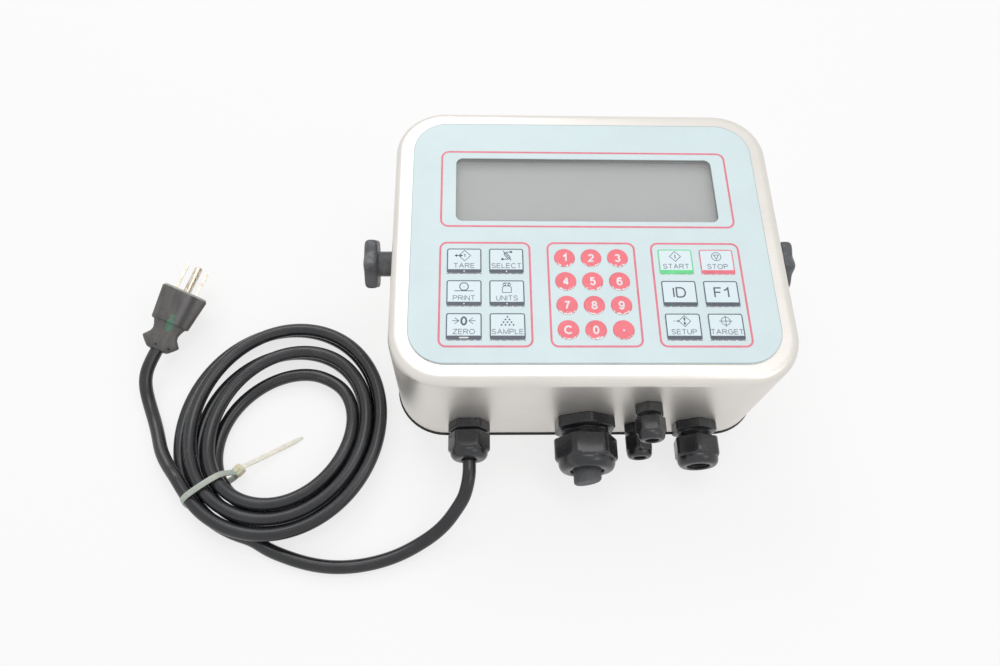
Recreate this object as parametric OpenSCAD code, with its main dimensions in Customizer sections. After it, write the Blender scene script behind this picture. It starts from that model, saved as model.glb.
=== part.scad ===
// Weighing indicator for wash-down use, lying on its back.
// The origin is the centre of the rear cover's rest face.
// +Z points out of the display and -Y points to the side that holds the cable glands.

/* [Housing] */
// Width of the drawn steel housing
body_w = 220; // [212:1:244]
// Height of the housing, from the gland side to the top side
body_d = 176; // [170:1:200]
// Depth of the drawn shell
shell_h = 84; // [80:1:100]
// Steel thickness of the shell
wall = 1.5; // [1:0.1:2]
// Radius of the four upright corners
corner_r = 29; // [24:1:33]
// Radius of the bend round the front face
front_r = 5.5; // [4:0.5:7]
// Width of the return flange that carries the gasket
flange_w = 14; // [13:0.5:16]

/* [Rear cover] */
// Steel thickness of the rear cover
cover_t = 1.2; // [1:0.1:1.5]
// Height of the pressed field that the indicator rests on
cover_rise = 2.6; // [2.4:0.1:4]
// Width of the rim left flat for the screws
rim_w = 20; // [18:0.5:24]
// Corner radius of the pressed field
field_r = 14; // [10:1:20]
// Thickness of the gasket when it is clamped
gasket_t = 1.8; // [1.4:0.1:2.4]
// How far the gasket stands out past the housing
gasket_proud = 0.8; // [0.4:0.1:1.2]
// Width of the gasket under the flange
gasket_w = 13; // [12:0.5:14]
// Diameter of the cover screws
screw_d = 4; // [3.5:0.1:4.2]
// Head diameter of the cover screws
screw_head_d = 7.6; // [7:0.1:8]
// Head height of the cover screws
screw_head_h = 2.1; // [1.8:0.1:2.3]
// Distance of the screws from the housing's edge
screw_inset = 9.5; // [9:0.5:10]
// Distance of the middle screws from the centre line
screw_mid_x = 47; // [46:0.5:48]
// Height of the weld nuts on the flange
weld_nut_h = 3.2; // [2.5:0.1:3.6]
// Diameter of the weld nuts on the flange
weld_nut_d = 7; // [6.4:0.1:7.4]

/* [Front label] */
// Bare steel beside the label, left and right
label_gap_x = 10.5; // [8:0.5:14]
// Bare steel beside the label, top and bottom
label_gap_y = 10.7; // [8:0.5:13]
// Corner radius of the label
label_r = 20; // [14:1:24]
// Thickness of the printed overlay
overlay_t = 0.4; // [0.3:0.05:0.6]
// Thickness of the keypad circuit under it
circuit_t = 0.8; // [0.75:0.05:1.2]
// Width of the display opening
window_w = 149.2; // [140:0.5:152]
// Height of the display opening
window_d = 43; // [38:0.5:45]
// Corner radius of the display opening
window_r = 4; // [3:0.5:6]
// Distance from the label's top edge to the display's centre
window_drop = 46.7; // [45:0.5:50]
// Ledge that the clear pane rests on
window_ledge = 2; // [1.5:0.1:2.5]

/* [Function keys] */
// Width of a function key
key_w = 19; // [17:0.5:20]
// Corner radius of a function key
key_r = 1.2; // [0.8:0.1:2]
// Spacing of the two columns in a block
key_pitch_x = 23; // [22.5:0.5:25]
// Free label between two rows of function keys
key_row_gap = 4.3; // [3.5:0.1:6]
// Distance of each block of keys from the centre line
block_x = 58.2; // [56:0.2:60]

/* [Number keys] */
// Spacing of the number keys across
disc_pitch_x = 14.65; // [14.4:0.05:16]
// Free label between two rows of number keys
disc_row_gap = 3.05; // [2.8:0.05:4]

/* [Key travel] */
// How far a key sinks when it is pressed
key_travel = 0.35; // [0.2:0.01:0.38]
// Thickness of the flange that holds a key under the overlay
key_flange_t = 0.2; // [0.15:0.01:0.22]
// Width of that flange
key_flange_w = 0.7; // [0.5:0.05:0.8]
// How far a key stands above the overlay
key_proud = 0.2; // [0.1:0.05:0.4]
// Free space beside a key in its window
key_gap = 0.15; // [0.1:0.01:0.2]
// Backing left under a pocket of the circuit
pocket_floor = 0.1; // [0.08:0.01:0.12]

/* [Display module] */
// Space between the steel and the display glass
lcd_gap = 2.5; // [2:0.1:3.5]
// Thickness of the display glass
lcd_t = 2.8; // [2:0.1:3]
// Height of the frame that holds the glass
bezel_h = 8; // [7.5:0.1:10]
// Width of the frame round the display opening
bezel_w = 8; // [7:0.5:9]
// How far the glass reaches under the frame
lcd_lap = 3; // [2.5:0.1:4]
// Thickness of the circuit boards
board_t = 1.6; // [1.2:0.1:2]
// Board beside the display's frame
display_margin_x = 0.5; // [0.4:0.1:2]
// Board above and below the display's frame, for its standoffs
display_margin_y = 8.4; // [8:0.2:10]

/* [Main board] */
// Free space between the main board and the side walls
board_side = 14.5; // [14:0.5:20]
// Height of the main board
main_board_d = 68; // [66:1:70]
// Distance of the main board from the gland wall
board_edge = 11.5; // [11:0.5:13]
// Length of the standoffs that carry the main board
standoff_l = 16.5; // [15:0.5:20]
// Diameter of the standoffs
standoff_d = 6; // [5:0.5:7]
// Distance of the standoffs from the board's edges
standoff_inset = 4.5; // [4:0.1:5]
// Length of the transformer
transformer_w = 57; // [50:1:58]
// Depth of the transformer
transformer_d = 44; // [40:1:45]
// Height of the transformer
transformer_h = 34; // [28:1:35]
// Free space between the terminal blocks and the transformer
transformer_gap = 4; // [3:0.5:8]
// Height of the terminal blocks
terminal_h = 14; // [10:1:16]

/* [Clamping knobs] */
// Height of the knob axis above the rest face
knob_z = 57.7; // [50:0.1:60]
// Diameter over the lobes
knob_d = 32; // [28:0.5:36]
// Thickness of the lobed head
knob_head_t = 9.9; // [8:0.1:12]
// Number of lobes
knob_lobes = 6; // [5:1:8]
// Diameter of the hub
knob_hub_d = 14.4; // [13:0.1:16]
// Length of the hub, from the housing to the head
knob_hub_l = 9.3; // [7:0.1:12]
// Diameter of the threaded stud
stud_d = 8; // [6:0.5:10]
// Length of the stud inside the housing
stud_in = 11; // [10:0.5:13]
// Length of the weld nut that the stud turns in
stud_nut_l = 8; // [6:0.5:9]

/* [Power gland] */
// Height of the power gland above the rest face
power_z = 24.7; // [22:0.1:28]
// Width of the power gland across its flats
power_af = 22; // [20:0.5:23]
// Thread diameter of the power gland
power_thread = 18.6; // [16:0.1:18.8]
// Thickness of the power gland's hexagon
power_hex = 5.5; // [4:0.1:7]
// Space between the power gland's hexagon and its nut
power_space = 1.2; // [0.8:0.1:3]
// Length of the power gland's nut
power_nut = 15.3; // [14:0.1:17]
// Mouth of the power gland's nut
power_mouth = 9.2; // [8.8:0.1:12]

/* [Large gland] */
// Height of the large gland above the rest face
large_z = 28.8; // [27:0.1:32]
// Width of the large gland across its flats
large_af = 33; // [31:0.5:34]
// Thread diameter of the large gland
large_thread = 28.3; // [27:0.1:28.6]
// Thickness of the large gland's hexagon
large_hex = 6.3; // [5:0.1:8]
// Space between the large gland's hexagon and its nut
large_space = 5.1; // [2:0.1:6]
// Length of the large gland's nut
large_nut = 18.8; // [17:0.1:20]
// Mouth of the large gland's nut
large_mouth = 19.4; // [17.5:0.1:21]
// Diameter of the blanking plug
blank_d = 15.8; // [14:0.1:16.5]
// How far the blanking plug stands out of the nut
blank_proud = 7.5; // [4:0.5:10]

/* [Medium gland] */
// Height of the medium gland above the rest face
medium_z = 22.2; // [21:0.1:26]
// Width of the medium gland across its flats
medium_af = 24; // [22:0.5:25]
// Thread diameter of the medium gland
medium_thread = 20.4; // [18.5:0.1:20.8]
// Thickness of the medium gland's hexagon
medium_hex = 5.5; // [4:0.1:7]
// Space between the medium gland's hexagon and its nut
medium_space = 4; // [1:0.1:5]
// Length of the medium gland's nut
medium_nut = 16.3; // [15:0.1:18]
// Mouth of the medium gland's nut
medium_mouth = 13.1; // [12:0.1:14.5]
// Cable bore of the medium gland's seal
medium_bore = 10; // [6:0.1:11]

/* [Small glands] */
// Height of the upper small gland above the rest face
small_upper_z = 54.9; // [50:0.1:58]
// Height of the lower small gland above the rest face
small_lower_z = 20.5; // [19:0.1:24]
// Width of the small glands across their flats
small_af = 15; // [14:0.5:16]
// Thread diameter of the small glands
small_thread = 12.5; // [11:0.1:12.6]
// Thickness of the small glands' hexagon
small_hex = 5.6; // [4:0.1:7]
// Space between a small gland's hexagon and its nut
small_space = 1.8; // [1:0.1:3]
// Length of the small glands' nuts
small_nut = 12.6; // [11:0.1:14]
// Mouth of the small glands' nuts
small_mouth = 7.3; // [6.8:0.1:8]
// Cable bore of the small glands' seals
small_bore = 5; // [3:0.1:5.5]

/* [All glands] */
// Length of the gland threads, from the housing's outer face inwards
thread_in = 10; // [9:0.5:12]
// Thickness of the locknuts inside the housing
locknut_t = 5; // [4:0.5:6]
// Wall of the gland bodies round their bore
gland_wall = 2; // [1.6:0.1:2.2]
// Thickness of the lip that closes a nut over its seal
nut_lip = 1.6; // [1.2:0.1:2]

/* [Mains lead] */
// Diameter of the lead
cord_d = 7.7; // [7:0.1:8]
// Number of turns in the coil
coil_turns = 5.1; // [4.1:1:6.1]
// Longer half of the coil's outermost turn
coil_out_long = 69.2; // [69:0.1:73]
// Shorter half of the coil's outermost turn
coil_out_short = 62.5; // [62.4:0.1:66]
// Longer half of the coil's innermost turn
coil_in_long = 41.9; // [38:0.1:42]
// Shorter half of the coil's innermost turn
coil_in_short = 34; // [32:0.1:34.1]
// How far the inner turns lie off the outer ones, towards the indicator
coil_shift_x = 4; // [2:0.1:4.1]
// How far the inner turns lie off the outer ones, towards the gland side
coil_shift_y = 8.7; // [4:0.1:8.8]
// Height from one layer of the coil to the next
coil_rise = 8.4; // [8.3:0.1:9.5]
// Thickness of the cable tie
tie_t = 1.3; // [1:0.1:1.6]
// Width of the cable tie
tie_w = 3.6; // [3:0.1:4.8]
// Length of the cable tie's loose end
tie_tail = 42; // [30:1:55]

/* [Mains plug] */
// Length of the plug, without its blades
plug_l = 39; // [36:0.5:42]
// Width of the plug's face
plug_w = 28; // [27:0.5:31]
// Length of the grip behind the face
plug_grip = 21.5; // [20:0.5:25]
// Length of the two blades
blade_l = 17.5; // [16:0.1:18.2]
// Height of the blades
blade_h = 6.35; // [6.2:0.05:6.5]
// Thickness of the blades
blade_t = 1.5; // [1.4:0.05:1.6]
// Distance between the blades' centres
blade_pitch = 12.7; // [12.6:0.05:12.8]
// Length of the earth pin
earth_l = 21.5; // [20:0.1:22]
// Diameter of the earth pin
earth_d = 4.8; // [4.6:0.05:4.9]
// Distance from the blades' line to the earth pin
earth_drop = 11.9; // [11.8:0.05:12]

/* [Hidden] */
$fn = 64;

// One overrun serves every cut
over = 1;
// Free space round a screw in its hole
screw_gap = 0.25;
// Free space round a gland's thread in the housing and in its nut
thread_gap = 0.12;
// Running clearance of the knob studs, on the radius
stud_gap = 0.05;
// How much tighter than its stud a knob's hole is, on the radius
stud_press = 0.01;
// Gap between a knob's hub and the housing
hub_gap = 0.1;
// Free space round the clear pane and the boards' seats
seat_gap = 0.2;

// Levels of the stack, from the rest face up to the label's face
z_rim = cover_rise;
z_gasket = z_rim + cover_t;
z_shell = z_gasket + gasket_t;
z_face = z_shell + shell_h;
z_inner = z_face - wall;
z_circuit = z_face + circuit_t;
z_top = z_circuit + overlay_t;

// Label, display and keypad places
label_w = body_w - 2 * label_gap_x;
label_d = body_d - 2 * label_gap_y;
window_y = label_d / 2 - window_drop;
pocket_gap = key_gap + key_gap;

// The keypad takes shares of the label's height below the display: its middle, from the
// label's bottom edge, and the pitch of its rows, in steps of a twentieth of a millimetre
function snap(v) = round(v * 20) / 20;
keypad_h = label_d - window_drop - window_d / 2;
keypad_middle_share = 0.4722;
key_pitch_share = 0.2292;
disc_pitch_share = 0.1684;
keypad_y = -label_d / 2 + snap(keypad_middle_share * keypad_h);
key_pitch_y = snap(key_pitch_share * keypad_h);
key_d = key_pitch_y - key_row_gap;
disc_pitch_y = snap(disc_pitch_share * keypad_h);
disc_d = disc_pitch_y - disc_row_gap;

// Centre of a function key: side -1 or 1, column 0 or 1, row 0 to 2 from the top
function function_key_at(side, column, row) =
    [side * block_x + (column - 0.5) * key_pitch_x, keypad_y + (1 - row) * key_pitch_y];

// Centre of a number key: column 0 to 2, row 0 to 3 from the top
function number_key_at(column, row) =
    [(column - 1) * disc_pitch_x, keypad_y + (1.5 - row) * disc_pitch_y];

// Places of the cover screws: four corners, four on the long sides, two on the short sides
corner_reach = (corner_r - screw_inset) * sin(45);
screw_places = concat(
    [for (x = [-1, 1], y = [-1, 1])
        [x * (body_w / 2 - corner_r + corner_reach), y * (body_d / 2 - corner_r + corner_reach)]],
    [for (x = [-1, 1], y = [-1, 1]) [x * screw_mid_x, y * (body_d / 2 - screw_inset)]],
    [for (x = [-1, 1]) [x * (body_w / 2 - screw_inset), 0]]
);

// Display module, hung from the inside of the front face
z_lcd = z_inner - lcd_gap;
z_display_board = z_inner - bezel_h;
bezel_step = 2;
display_board_w = window_w + 2 * bezel_w + 2 * display_margin_x;
display_board_d = window_d + 2 * bezel_w + 2 * display_margin_y;

// The glands stand side by side on the flat of their wall. These shares of the free space lie before
// the power gland, before the large, small and medium glands, and after them
gland_gap_shares = [0.024, 0.66, 0.091, 0.203, 0.022];
gland_widths = [power_af, large_af, small_af, medium_af] / cos(30);
gland_flat = body_w - 2 * corner_r;
gland_free = gland_flat - gland_widths * [1, 1, 1, 1];
function gland_place(i) =
    (i == 0 ? -gland_flat / 2 : gland_place(i - 1) + gland_widths[i - 1] / 2)
    + gland_gap_shares[i] * gland_free + gland_widths[i] / 2;
power_x = gland_place(0);
large_x = gland_place(1);
small_x = gland_place(2);
medium_x = gland_place(3);

// Main board and what stands on its rear side
main_board_w = body_w - 2 * wall - 2 * board_side;
board_y = -body_d / 2 + board_edge + main_board_d / 2;
z_board = z_inner - standoff_l;
z_board_rear = z_board - board_t;
terminal_y = board_y - main_board_d / 2 + terminal_h / 2;
transformer_x = -main_board_w / 2 + transformer_w / 2 + 2.5 * standoff_inset;
transformer_y = terminal_y + terminal_h / 2 + transformer_gap + transformer_d / 2;

// Hexagons of the glands have their corners cut back to this share of their width
hex_trim_share = 1.085;
// Turn of each hexagon, as its gland was tightened
power_turn = 6;
large_body_turn = 30;
large_nut_turn = -20;
medium_body_turn = 28;
medium_nut_turn = 12;
small_turn = 10;
// The dome takes this share of a nut's length, and its edge is rounded by this share of its width
dome_share = 0.22;
dome_round_share = 0.17;
// Slope of the blanking plug's cut end
blank_slope = 8;

// Gland seal lengths start this far inside the hexagon
seal_start_share = 0.5;
// The power gland's seal is squeezed by this much on the lead's diameter
seal_grip = 0.4;

// The coil: centre and angle where the lead comes in, seen from above and wound clockwise
coil_x = -179.6;
coil_y = -81;
coil_start = 255;
// Turn of the outermost and of the innermost oval
coil_out_tilt = 80;
coil_in_tilt = 49;
rings_per_turn = 24;
coil_sides = 6;
tie_clear = 0.3;
tie_lift = tie_t + tie_clear;
// The tie goes round the coil this many degrees after the lead comes in, and this much further inside
tie_after = 27;
tie_skew = 4;
// The coil rises over the tie within this angle to each side of it
tie_ramp = 50;
// Turn and slope of the tie's loose end from the way the tie goes round
tie_end_turn = -10;
tie_end_slope = 4;

// Share of the way from the outermost turn to the innermost at turn t
function coil_depth(t) = 1 - abs(t - coil_turns / 2) / (coil_turns / 2);

// Share of the climb to the second layer, made in the half turn where the spiral reverses
function coil_climb(t) =
    let (u = min(1, max(0, (t - coil_turns / 2 + 0.25) / 0.5)))
    (1 - cos(180 * u)) / 2;

// Lift over the cable tie at turn t
function coil_lift(t) =
    let (off = abs((t * 360 - tie_after + 180 + 3600) % 360 - 180))
    off < tie_ramp ? tie_lift * (1 + cos(180 * off / tie_ramp)) / 2 : 0;

// Radius of an oval in the direction a
function oval_r(long, short, tilt, a) =
    1 / norm([cos(a - tilt) / long, sin(a - tilt) / short]);

// Centre of the cord at turn t
function coil_at(t) =
    let (
        u = coil_depth(t),
        a = coil_start - 360 * t,
        r_out = oval_r(coil_out_long, coil_out_short, coil_out_tilt, a),
        r_in = oval_r(coil_in_long, coil_in_short, coil_in_tilt, a),
        r = r_out + (r_in - r_out) * u
    )
    [
        coil_x + coil_shift_x * u + r * cos(a),
        coil_y - coil_shift_y * u + r * sin(a),
        cord_d / 2 + coil_lift(t) + coil_rise * coil_climb(t)
    ];

function unit(v) = v / norm(v);
function flat(v) = [v[0], v[1], 0];

// The coil's ends run straight and level for one diameter
coil_step = 1 / rings_per_turn;
coil_in_dir = unit(flat(coil_at(coil_step / 4) - coil_at(0)));
coil_out_dir = unit(flat(coil_at(coil_turns) - coil_at(coil_turns - coil_step / 4)));
coil_points = concat(
    [coil_at(0) - cord_d * coil_in_dir],
    [for (i = [0 : round(coil_turns * rings_per_turn)])
        coil_at(i * coil_turns / round(coil_turns * rings_per_turn))],
    [coil_at(coil_turns) + cord_d * coil_out_dir]
);
coil_first = coil_points[0];
coil_last = coil_points[len(coil_points) - 1];

// Least gap between the surfaces of two stretches of the coil, half a turn or more apart
coil_samples = [for (i = [0 : round(coil_turns * rings_per_turn) * 2])
    coil_at(i * coil_turns / (round(coil_turns * rings_per_turn) * 2))];
coil_gap = min([for (i = [0 : len(coil_samples) - 1])
    min([for (j = [0 : len(coil_samples) - 1])
        abs(i - j) > rings_per_turn ? norm(coil_samples[i] - coil_samples[j]) - cord_d : cord_d])]);
echo(str("least gap of the coil to itself, mm: ", coil_gap));

// The lead leaves the power gland, drops to the floor and runs round to the coil
lead_start = [power_x, -body_d / 2 - power_hex - power_space - power_nut + nut_lip, power_z];
lead_hand = [
    [-67, -118, 24.6],
    [-68, -124, 23],
    [-70, -130, 20.2],
    [-74, -136, 16.6],
    [-79, -142, 12.8],
    [-86, -148, 9],
    [-95, -153.5, 6],
    [-106, -158.9, 4.4],
    [-119, -163.1, 3.9],
    [-132, -165.3, 3.9],
    [-146, -165.4, 3.9],
    [-160, -163, 3.9],
    [-172, -159.2, 3.9],
    [-182, -154.9, 4]
];
// The tail comes down from the coil's upper layer and runs round to the plug
tail_hand = [
    [-240.5, -110.5, 11.7],
    [-245, -104.4, 10.4],
    [-248.7, -98, 8.9],
    [-251.7, -91.1, 7.2],
    [-254.6, -84.4, 5.7],
    [-257.7, -77.6, 4.8],
    [-260.6, -71, 5],
    [-263.2, -64, 6.4],
    [-264.7, -57, 8.7],
    [-264.4, -50.2, 11]
];
// The plug's cord end, with the turn, the lift and the roll of the plug
plug_at = [-260, -36.2, 13.1];
plug_turn = 70.5;
plug_pitch = 5.6;
plug_roll = 26;
plug_dir = [cos(plug_turn) * cos(plug_pitch), sin(plug_turn) * cos(plug_pitch), sin(plug_pitch)];
lead_points = concat([lead_start], lead_hand, [coil_first - cord_d / 2 * coil_in_dir, coil_first]);
tail_points = concat(
    [coil_last, coil_last + cord_d / 2 * coil_out_dir],
    tail_hand,
    [plug_at - cord_d * plug_dir, plug_at]
);
free_sides = 10;

function path_length(points) =
    len(points) < 2 ? 0 : [for (i = 1, s = 0; i <= len(points);
        s = s + (i < len(points) ? norm(points[i] - points[i - 1]) : 0), i = i + 1) s][len(points) - 1];
cord_length = path_length(lead_points) + path_length(coil_points) + path_length(tail_points);
echo(str("length of the lead, mm: ", cord_length));

// Direction of the path at point i
function path_dir(points, i) =
    let (last = len(points) - 1)
    i == 0 ? unit(points[1] - points[0]) :
    i == last ? unit(points[last] - points[last - 1]) :
    unit(unit(points[i + 1] - points[i]) + unit(points[i] - points[i - 1]));

// Ring of the tube at a point, square to the direction
function ring_at(point, dir, r, sides) =
    let (
        side = unit(cross(dir, [0, 0, 1])),
        up = cross(side, dir)
    )
    [for (k = [0 : sides - 1]) point + r * (side * cos(360 * k / sides) + up * sin(360 * k / sides))];

// Closed tube along a list of points, made of one ring for each point
module tube(points, d, sides) {
    n = len(points);
    rings = [for (i = [0 : n - 1]) each ring_at(points[i], path_dir(points, i), d / 2, sides)];
    skin = [for (i = [0 : n - 2], k = [0 : sides - 1])
        each [
            [i * sides + k, (i + 1) * sides + k, (i + 1) * sides + (k + 1) % sides],
            [i * sides + k, (i + 1) * sides + (k + 1) % sides, i * sides + (k + 1) % sides]
        ]];
    first = [[for (k = [0 : sides - 1]) k]];
    last = [[for (k = [sides - 1 : -1 : 0]) (n - 1) * sides + k]];
    polyhedron(points = rings, faces = concat(skin, first, last), convexity = 10);
}

module lift(z) {
    translate([0, 0, z]) children();
}

// Rectangle with round corners
module rounded_rect(w, d, r) {
    square([w, d - 2 * r], center = true);
    square([w - 2 * r, d], center = true);
    for (x = [-1, 1], y = [-1, 1]) {
        translate([x * (w / 2 - r), y * (d / 2 - r)]) circle(r = r);
    }
}

module plate(w, d, r, t) {
    linear_extrude(t) rounded_rect(w, d, r);
}

// Half outline of a turned block whose upper edge is rounded
module turned_profile(r, h, f) {
    square([r, h - f]);
    square([r - f, h]);
    translate([r - f, h - f]) circle(r = f);
}

// Flat-bottomed outline, rounded at its two upper corners
module arch_profile(w, h, f) {
    translate([-w / 2, 0]) square([w, h - f]);
    translate([f - w / 2, 0]) square([w - 2 * f, h]);
    for (side = [-1, 1]) {
        translate([side * (w / 2 - f), h - f]) circle(r = f);
    }
}

// Block with upright corners of radius r and a bend of radius f round its top
module drawn_block(w, d, h, r, f) {
    rotate([90, 0, 0]) linear_extrude(d - 2 * r, center = true) arch_profile(w, h, f);
    rotate([90, 0, 90]) linear_extrude(w - 2 * r, center = true) arch_profile(d, h, f);
    for (x = [-1, 1], y = [-1, 1]) {
        translate([x * (w / 2 - r), y * (d / 2 - r), 0]) rotate_extrude() turned_profile(r, h, f);
    }
}

// Places its children on the gland wall, with +Z pointing out of the housing
module on_gland_wall(x, z) {
    translate([x, -body_d / 2, z]) rotate([90, 0, 0]) children();
}

// Places its children on a side wall at the knob axis, with +Z pointing out of the housing
module on_side_wall(side) {
    translate([side * body_w / 2, 0, knob_z]) rotate([0, side * 90, 0]) children();
}

// Housing
module gland_holes() {
    on_gland_wall(power_x, power_z) lift(-wall - over)
        cylinder(d = power_thread + 2 * thread_gap, h = wall + 2 * over);
    on_gland_wall(large_x, large_z) lift(-wall - over)
        cylinder(d = large_thread + 2 * thread_gap, h = wall + 2 * over);
    on_gland_wall(medium_x, medium_z) lift(-wall - over)
        cylinder(d = medium_thread + 2 * thread_gap, h = wall + 2 * over);
    for (z = [small_upper_z, small_lower_z]) {
        on_gland_wall(small_x, z) lift(-wall - over)
            cylinder(d = small_thread + 2 * thread_gap, h = wall + 2 * over);
    }
}

module return_flange() {
    lift(z_shell) linear_extrude(wall) difference() {
        rounded_rect(body_w - wall, body_d - wall, corner_r - wall / 2);
        rounded_rect(
            body_w - 2 * wall - 2 * flange_w,
            body_d - 2 * wall - 2 * flange_w,
            corner_r - wall - flange_w
        );
    }
}

module front_housing() {
    color("gainsboro")
    difference() {
        union() {
            difference() {
                lift(z_shell) drawn_block(body_w, body_d, shell_h, corner_r, front_r);
                lift(z_shell - over) drawn_block(
                    body_w - 2 * wall,
                    body_d - 2 * wall,
                    shell_h - wall + over,
                    corner_r - wall,
                    front_r - wall
                );
            }
            return_flange();
            for (place = screw_places) {
                translate([place[0], place[1], z_shell + wall / 2])
                    cylinder(d = weld_nut_d, h = wall / 2 + weld_nut_h);
            }
            for (side = [-1, 1]) {
                on_side_wall(side) lift(-wall / 2 - stud_nut_l) cylinder(d = 2 * stud_d, h = stud_nut_l);
            }
        }
        for (place = screw_places) {
            translate([place[0], place[1], z_shell - over])
                cylinder(d = screw_d + screw_gap, h = wall + weld_nut_h + 2 * over);
        }
        for (side = [-1, 1]) {
            on_side_wall(side) lift(-wall - stud_nut_l - over)
                cylinder(r = stud_d / 2 + stud_gap, h = wall + stud_nut_l + 2 * over);
        }
        gland_holes();
        translate([0, window_y, z_inner - over]) plate(
            window_w + 2 * window_ledge - 2 * seat_gap,
            window_d + 2 * window_ledge - 2 * seat_gap,
            window_r,
            wall + 2 * over
        );
    }
}

// Rear cover, its gasket and screws
module rear_cover() {
    field_w = body_w - 2 * rim_w;
    field_d = body_d - 2 * rim_w;
    color("lightgray")
    difference() {
        union() {
            lift(z_rim) plate(body_w, body_d, corner_r, cover_t);
            plate(field_w, field_d, field_r, cover_rise + cover_t / 2);
        }
        lift(cover_t) plate(
            field_w - 2 * cover_t,
            field_d - 2 * cover_t,
            field_r - cover_t,
            cover_rise + over
        );
        for (place = screw_places) {
            translate([place[0], place[1], z_rim - over])
                cylinder(d = screw_d + 2 * screw_gap, h = cover_t + 2 * over);
        }
    }
}

module rear_gasket() {
    color("#1c1c1e")
    difference() {
        lift(z_gasket) plate(
            body_w + 2 * gasket_proud,
            body_d + 2 * gasket_proud,
            corner_r + gasket_proud,
            gasket_t
        );
        lift(z_gasket - over) plate(
            body_w - 2 * gasket_w,
            body_d - 2 * gasket_w,
            corner_r - gasket_w,
            gasket_t + 2 * over
        );
        for (place = screw_places) {
            translate([place[0], place[1], z_gasket - over])
                cylinder(d = screw_d + 2 * screw_gap, h = gasket_t + 2 * over);
        }
    }
}

module cover_screws() {
    shank_l = cover_t + gasket_t + wall + weld_nut_h;
    socket = screw_head_d * 0.4;
    color("darkgray")
    for (place = screw_places) {
        translate([place[0], place[1], z_rim]) difference() {
            union() {
                cylinder(d = screw_d, h = shank_l);
                mirror([0, 0, 1]) rotate_extrude()
                    turned_profile(screw_head_d / 2, screw_head_h, screw_head_h / 2);
            }
            lift(-screw_head_h - over) cylinder(d = socket, h = screw_head_h / 2 + over, $fn = 6);
        }
    }
}

// Label and keypad
module function_keys_outline(grow) {
    for (side = [-1, 1], column = [0, 1], row = [0 : 2]) {
        translate(function_key_at(side, column, row))
            rounded_rect(key_w + 2 * grow, key_d + 2 * grow, key_r + grow);
    }
}

module number_keys_outline(grow) {
    for (column = [0 : 2], row = [0 : 3]) {
        translate(number_key_at(column, row)) circle(d = disc_d + 2 * grow);
    }
}

module keypad_overlay() {
    color("lightcyan")
    lift(z_circuit) linear_extrude(overlay_t) difference() {
        rounded_rect(label_w, label_d, label_r);
        translate([0, window_y]) rounded_rect(window_w, window_d, window_r);
        function_keys_outline(0);
        number_keys_outline(0);
    }
}

module keypad_circuit() {
    pocket = key_flange_w + pocket_gap;
    color("powderblue")
    difference() {
        lift(z_face) linear_extrude(circuit_t) difference() {
            rounded_rect(label_w, label_d, label_r);
            translate([0, window_y]) rounded_rect(
                window_w + 4 * window_ledge,
                window_d + 4 * window_ledge,
                window_r + 2 * window_ledge
            );
        }
        lift(z_face + pocket_floor) linear_extrude(circuit_t) {
            function_keys_outline(pocket);
            number_keys_outline(pocket);
        }
    }
}

// A key passes up through its window and is held by a flange under the overlay
module key_body() {
    lift(z_circuit) linear_extrude(overlay_t + key_proud) children(0);
    lift(z_circuit - key_flange_t) linear_extrude(key_flange_t) children(1);
}

module function_key(side, column, row) {
    translate(function_key_at(side, column, row)) key_body() {
        rounded_rect(key_w - 2 * key_gap, key_d - 2 * key_gap, key_r);
        rounded_rect(key_w + 2 * key_flange_w, key_d + 2 * key_flange_w, key_r + key_flange_w);
    }
}

module number_key(column, row) {
    translate(number_key_at(column, row)) key_body() {
        circle(d = disc_d - 2 * key_gap);
        circle(d = disc_d + 2 * key_flange_w);
    }
}

module key_tare() { color("lightcyan") function_key(-1, 0, 0); }
module key_select() { color("lightcyan") function_key(-1, 1, 0); }
module key_print() { color("lightcyan") function_key(-1, 0, 1); }
module key_units() { color("lightcyan") function_key(-1, 1, 1); }
module key_zero() { color("lightcyan") function_key(-1, 0, 2); }
module key_sample() { color("lightcyan") function_key(-1, 1, 2); }
module key_start() { color("palegreen") function_key(1, 0, 0); }
module key_stop() { color("lightpink") function_key(1, 1, 0); }
module key_id() { color("lightcyan") function_key(1, 0, 1); }
module key_f1() { color("lightcyan") function_key(1, 1, 1); }
module key_setup() { color("lightcyan") function_key(1, 0, 2); }
module key_target() { color("lightcyan") function_key(1, 1, 2); }
module key_1() { color("lightcoral") number_key(0, 0); }
module key_2() { color("lightcoral") number_key(1, 0); }
module key_3() { color("lightcoral") number_key(2, 0); }
module key_4() { color("lightcoral") number_key(0, 1); }
module key_5() { color("lightcoral") number_key(1, 1); }
module key_6() { color("lightcoral") number_key(2, 1); }
module key_7() { color("lightcoral") number_key(0, 2); }
module key_8() { color("lightcoral") number_key(1, 2); }
module key_9() { color("lightcoral") number_key(2, 2); }
module key_clear() { color("lightcoral") number_key(0, 3); }
module key_0() { color("lightcoral") number_key(1, 3); }
module key_point() { color("lightcoral") number_key(2, 3); }

// Display
module display_window() {
    color("whitesmoke", 0.4)
    translate([0, window_y, z_face]) {
        plate(
            window_w + 4 * window_ledge - 2 * seat_gap,
            window_d + 4 * window_ledge - 2 * seat_gap,
            window_r + 2 * window_ledge - seat_gap,
            circuit_t
        );
        plate(window_w - 2 * seat_gap, window_d - 2 * seat_gap, window_r - seat_gap, z_top - z_face);
    }
}

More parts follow.
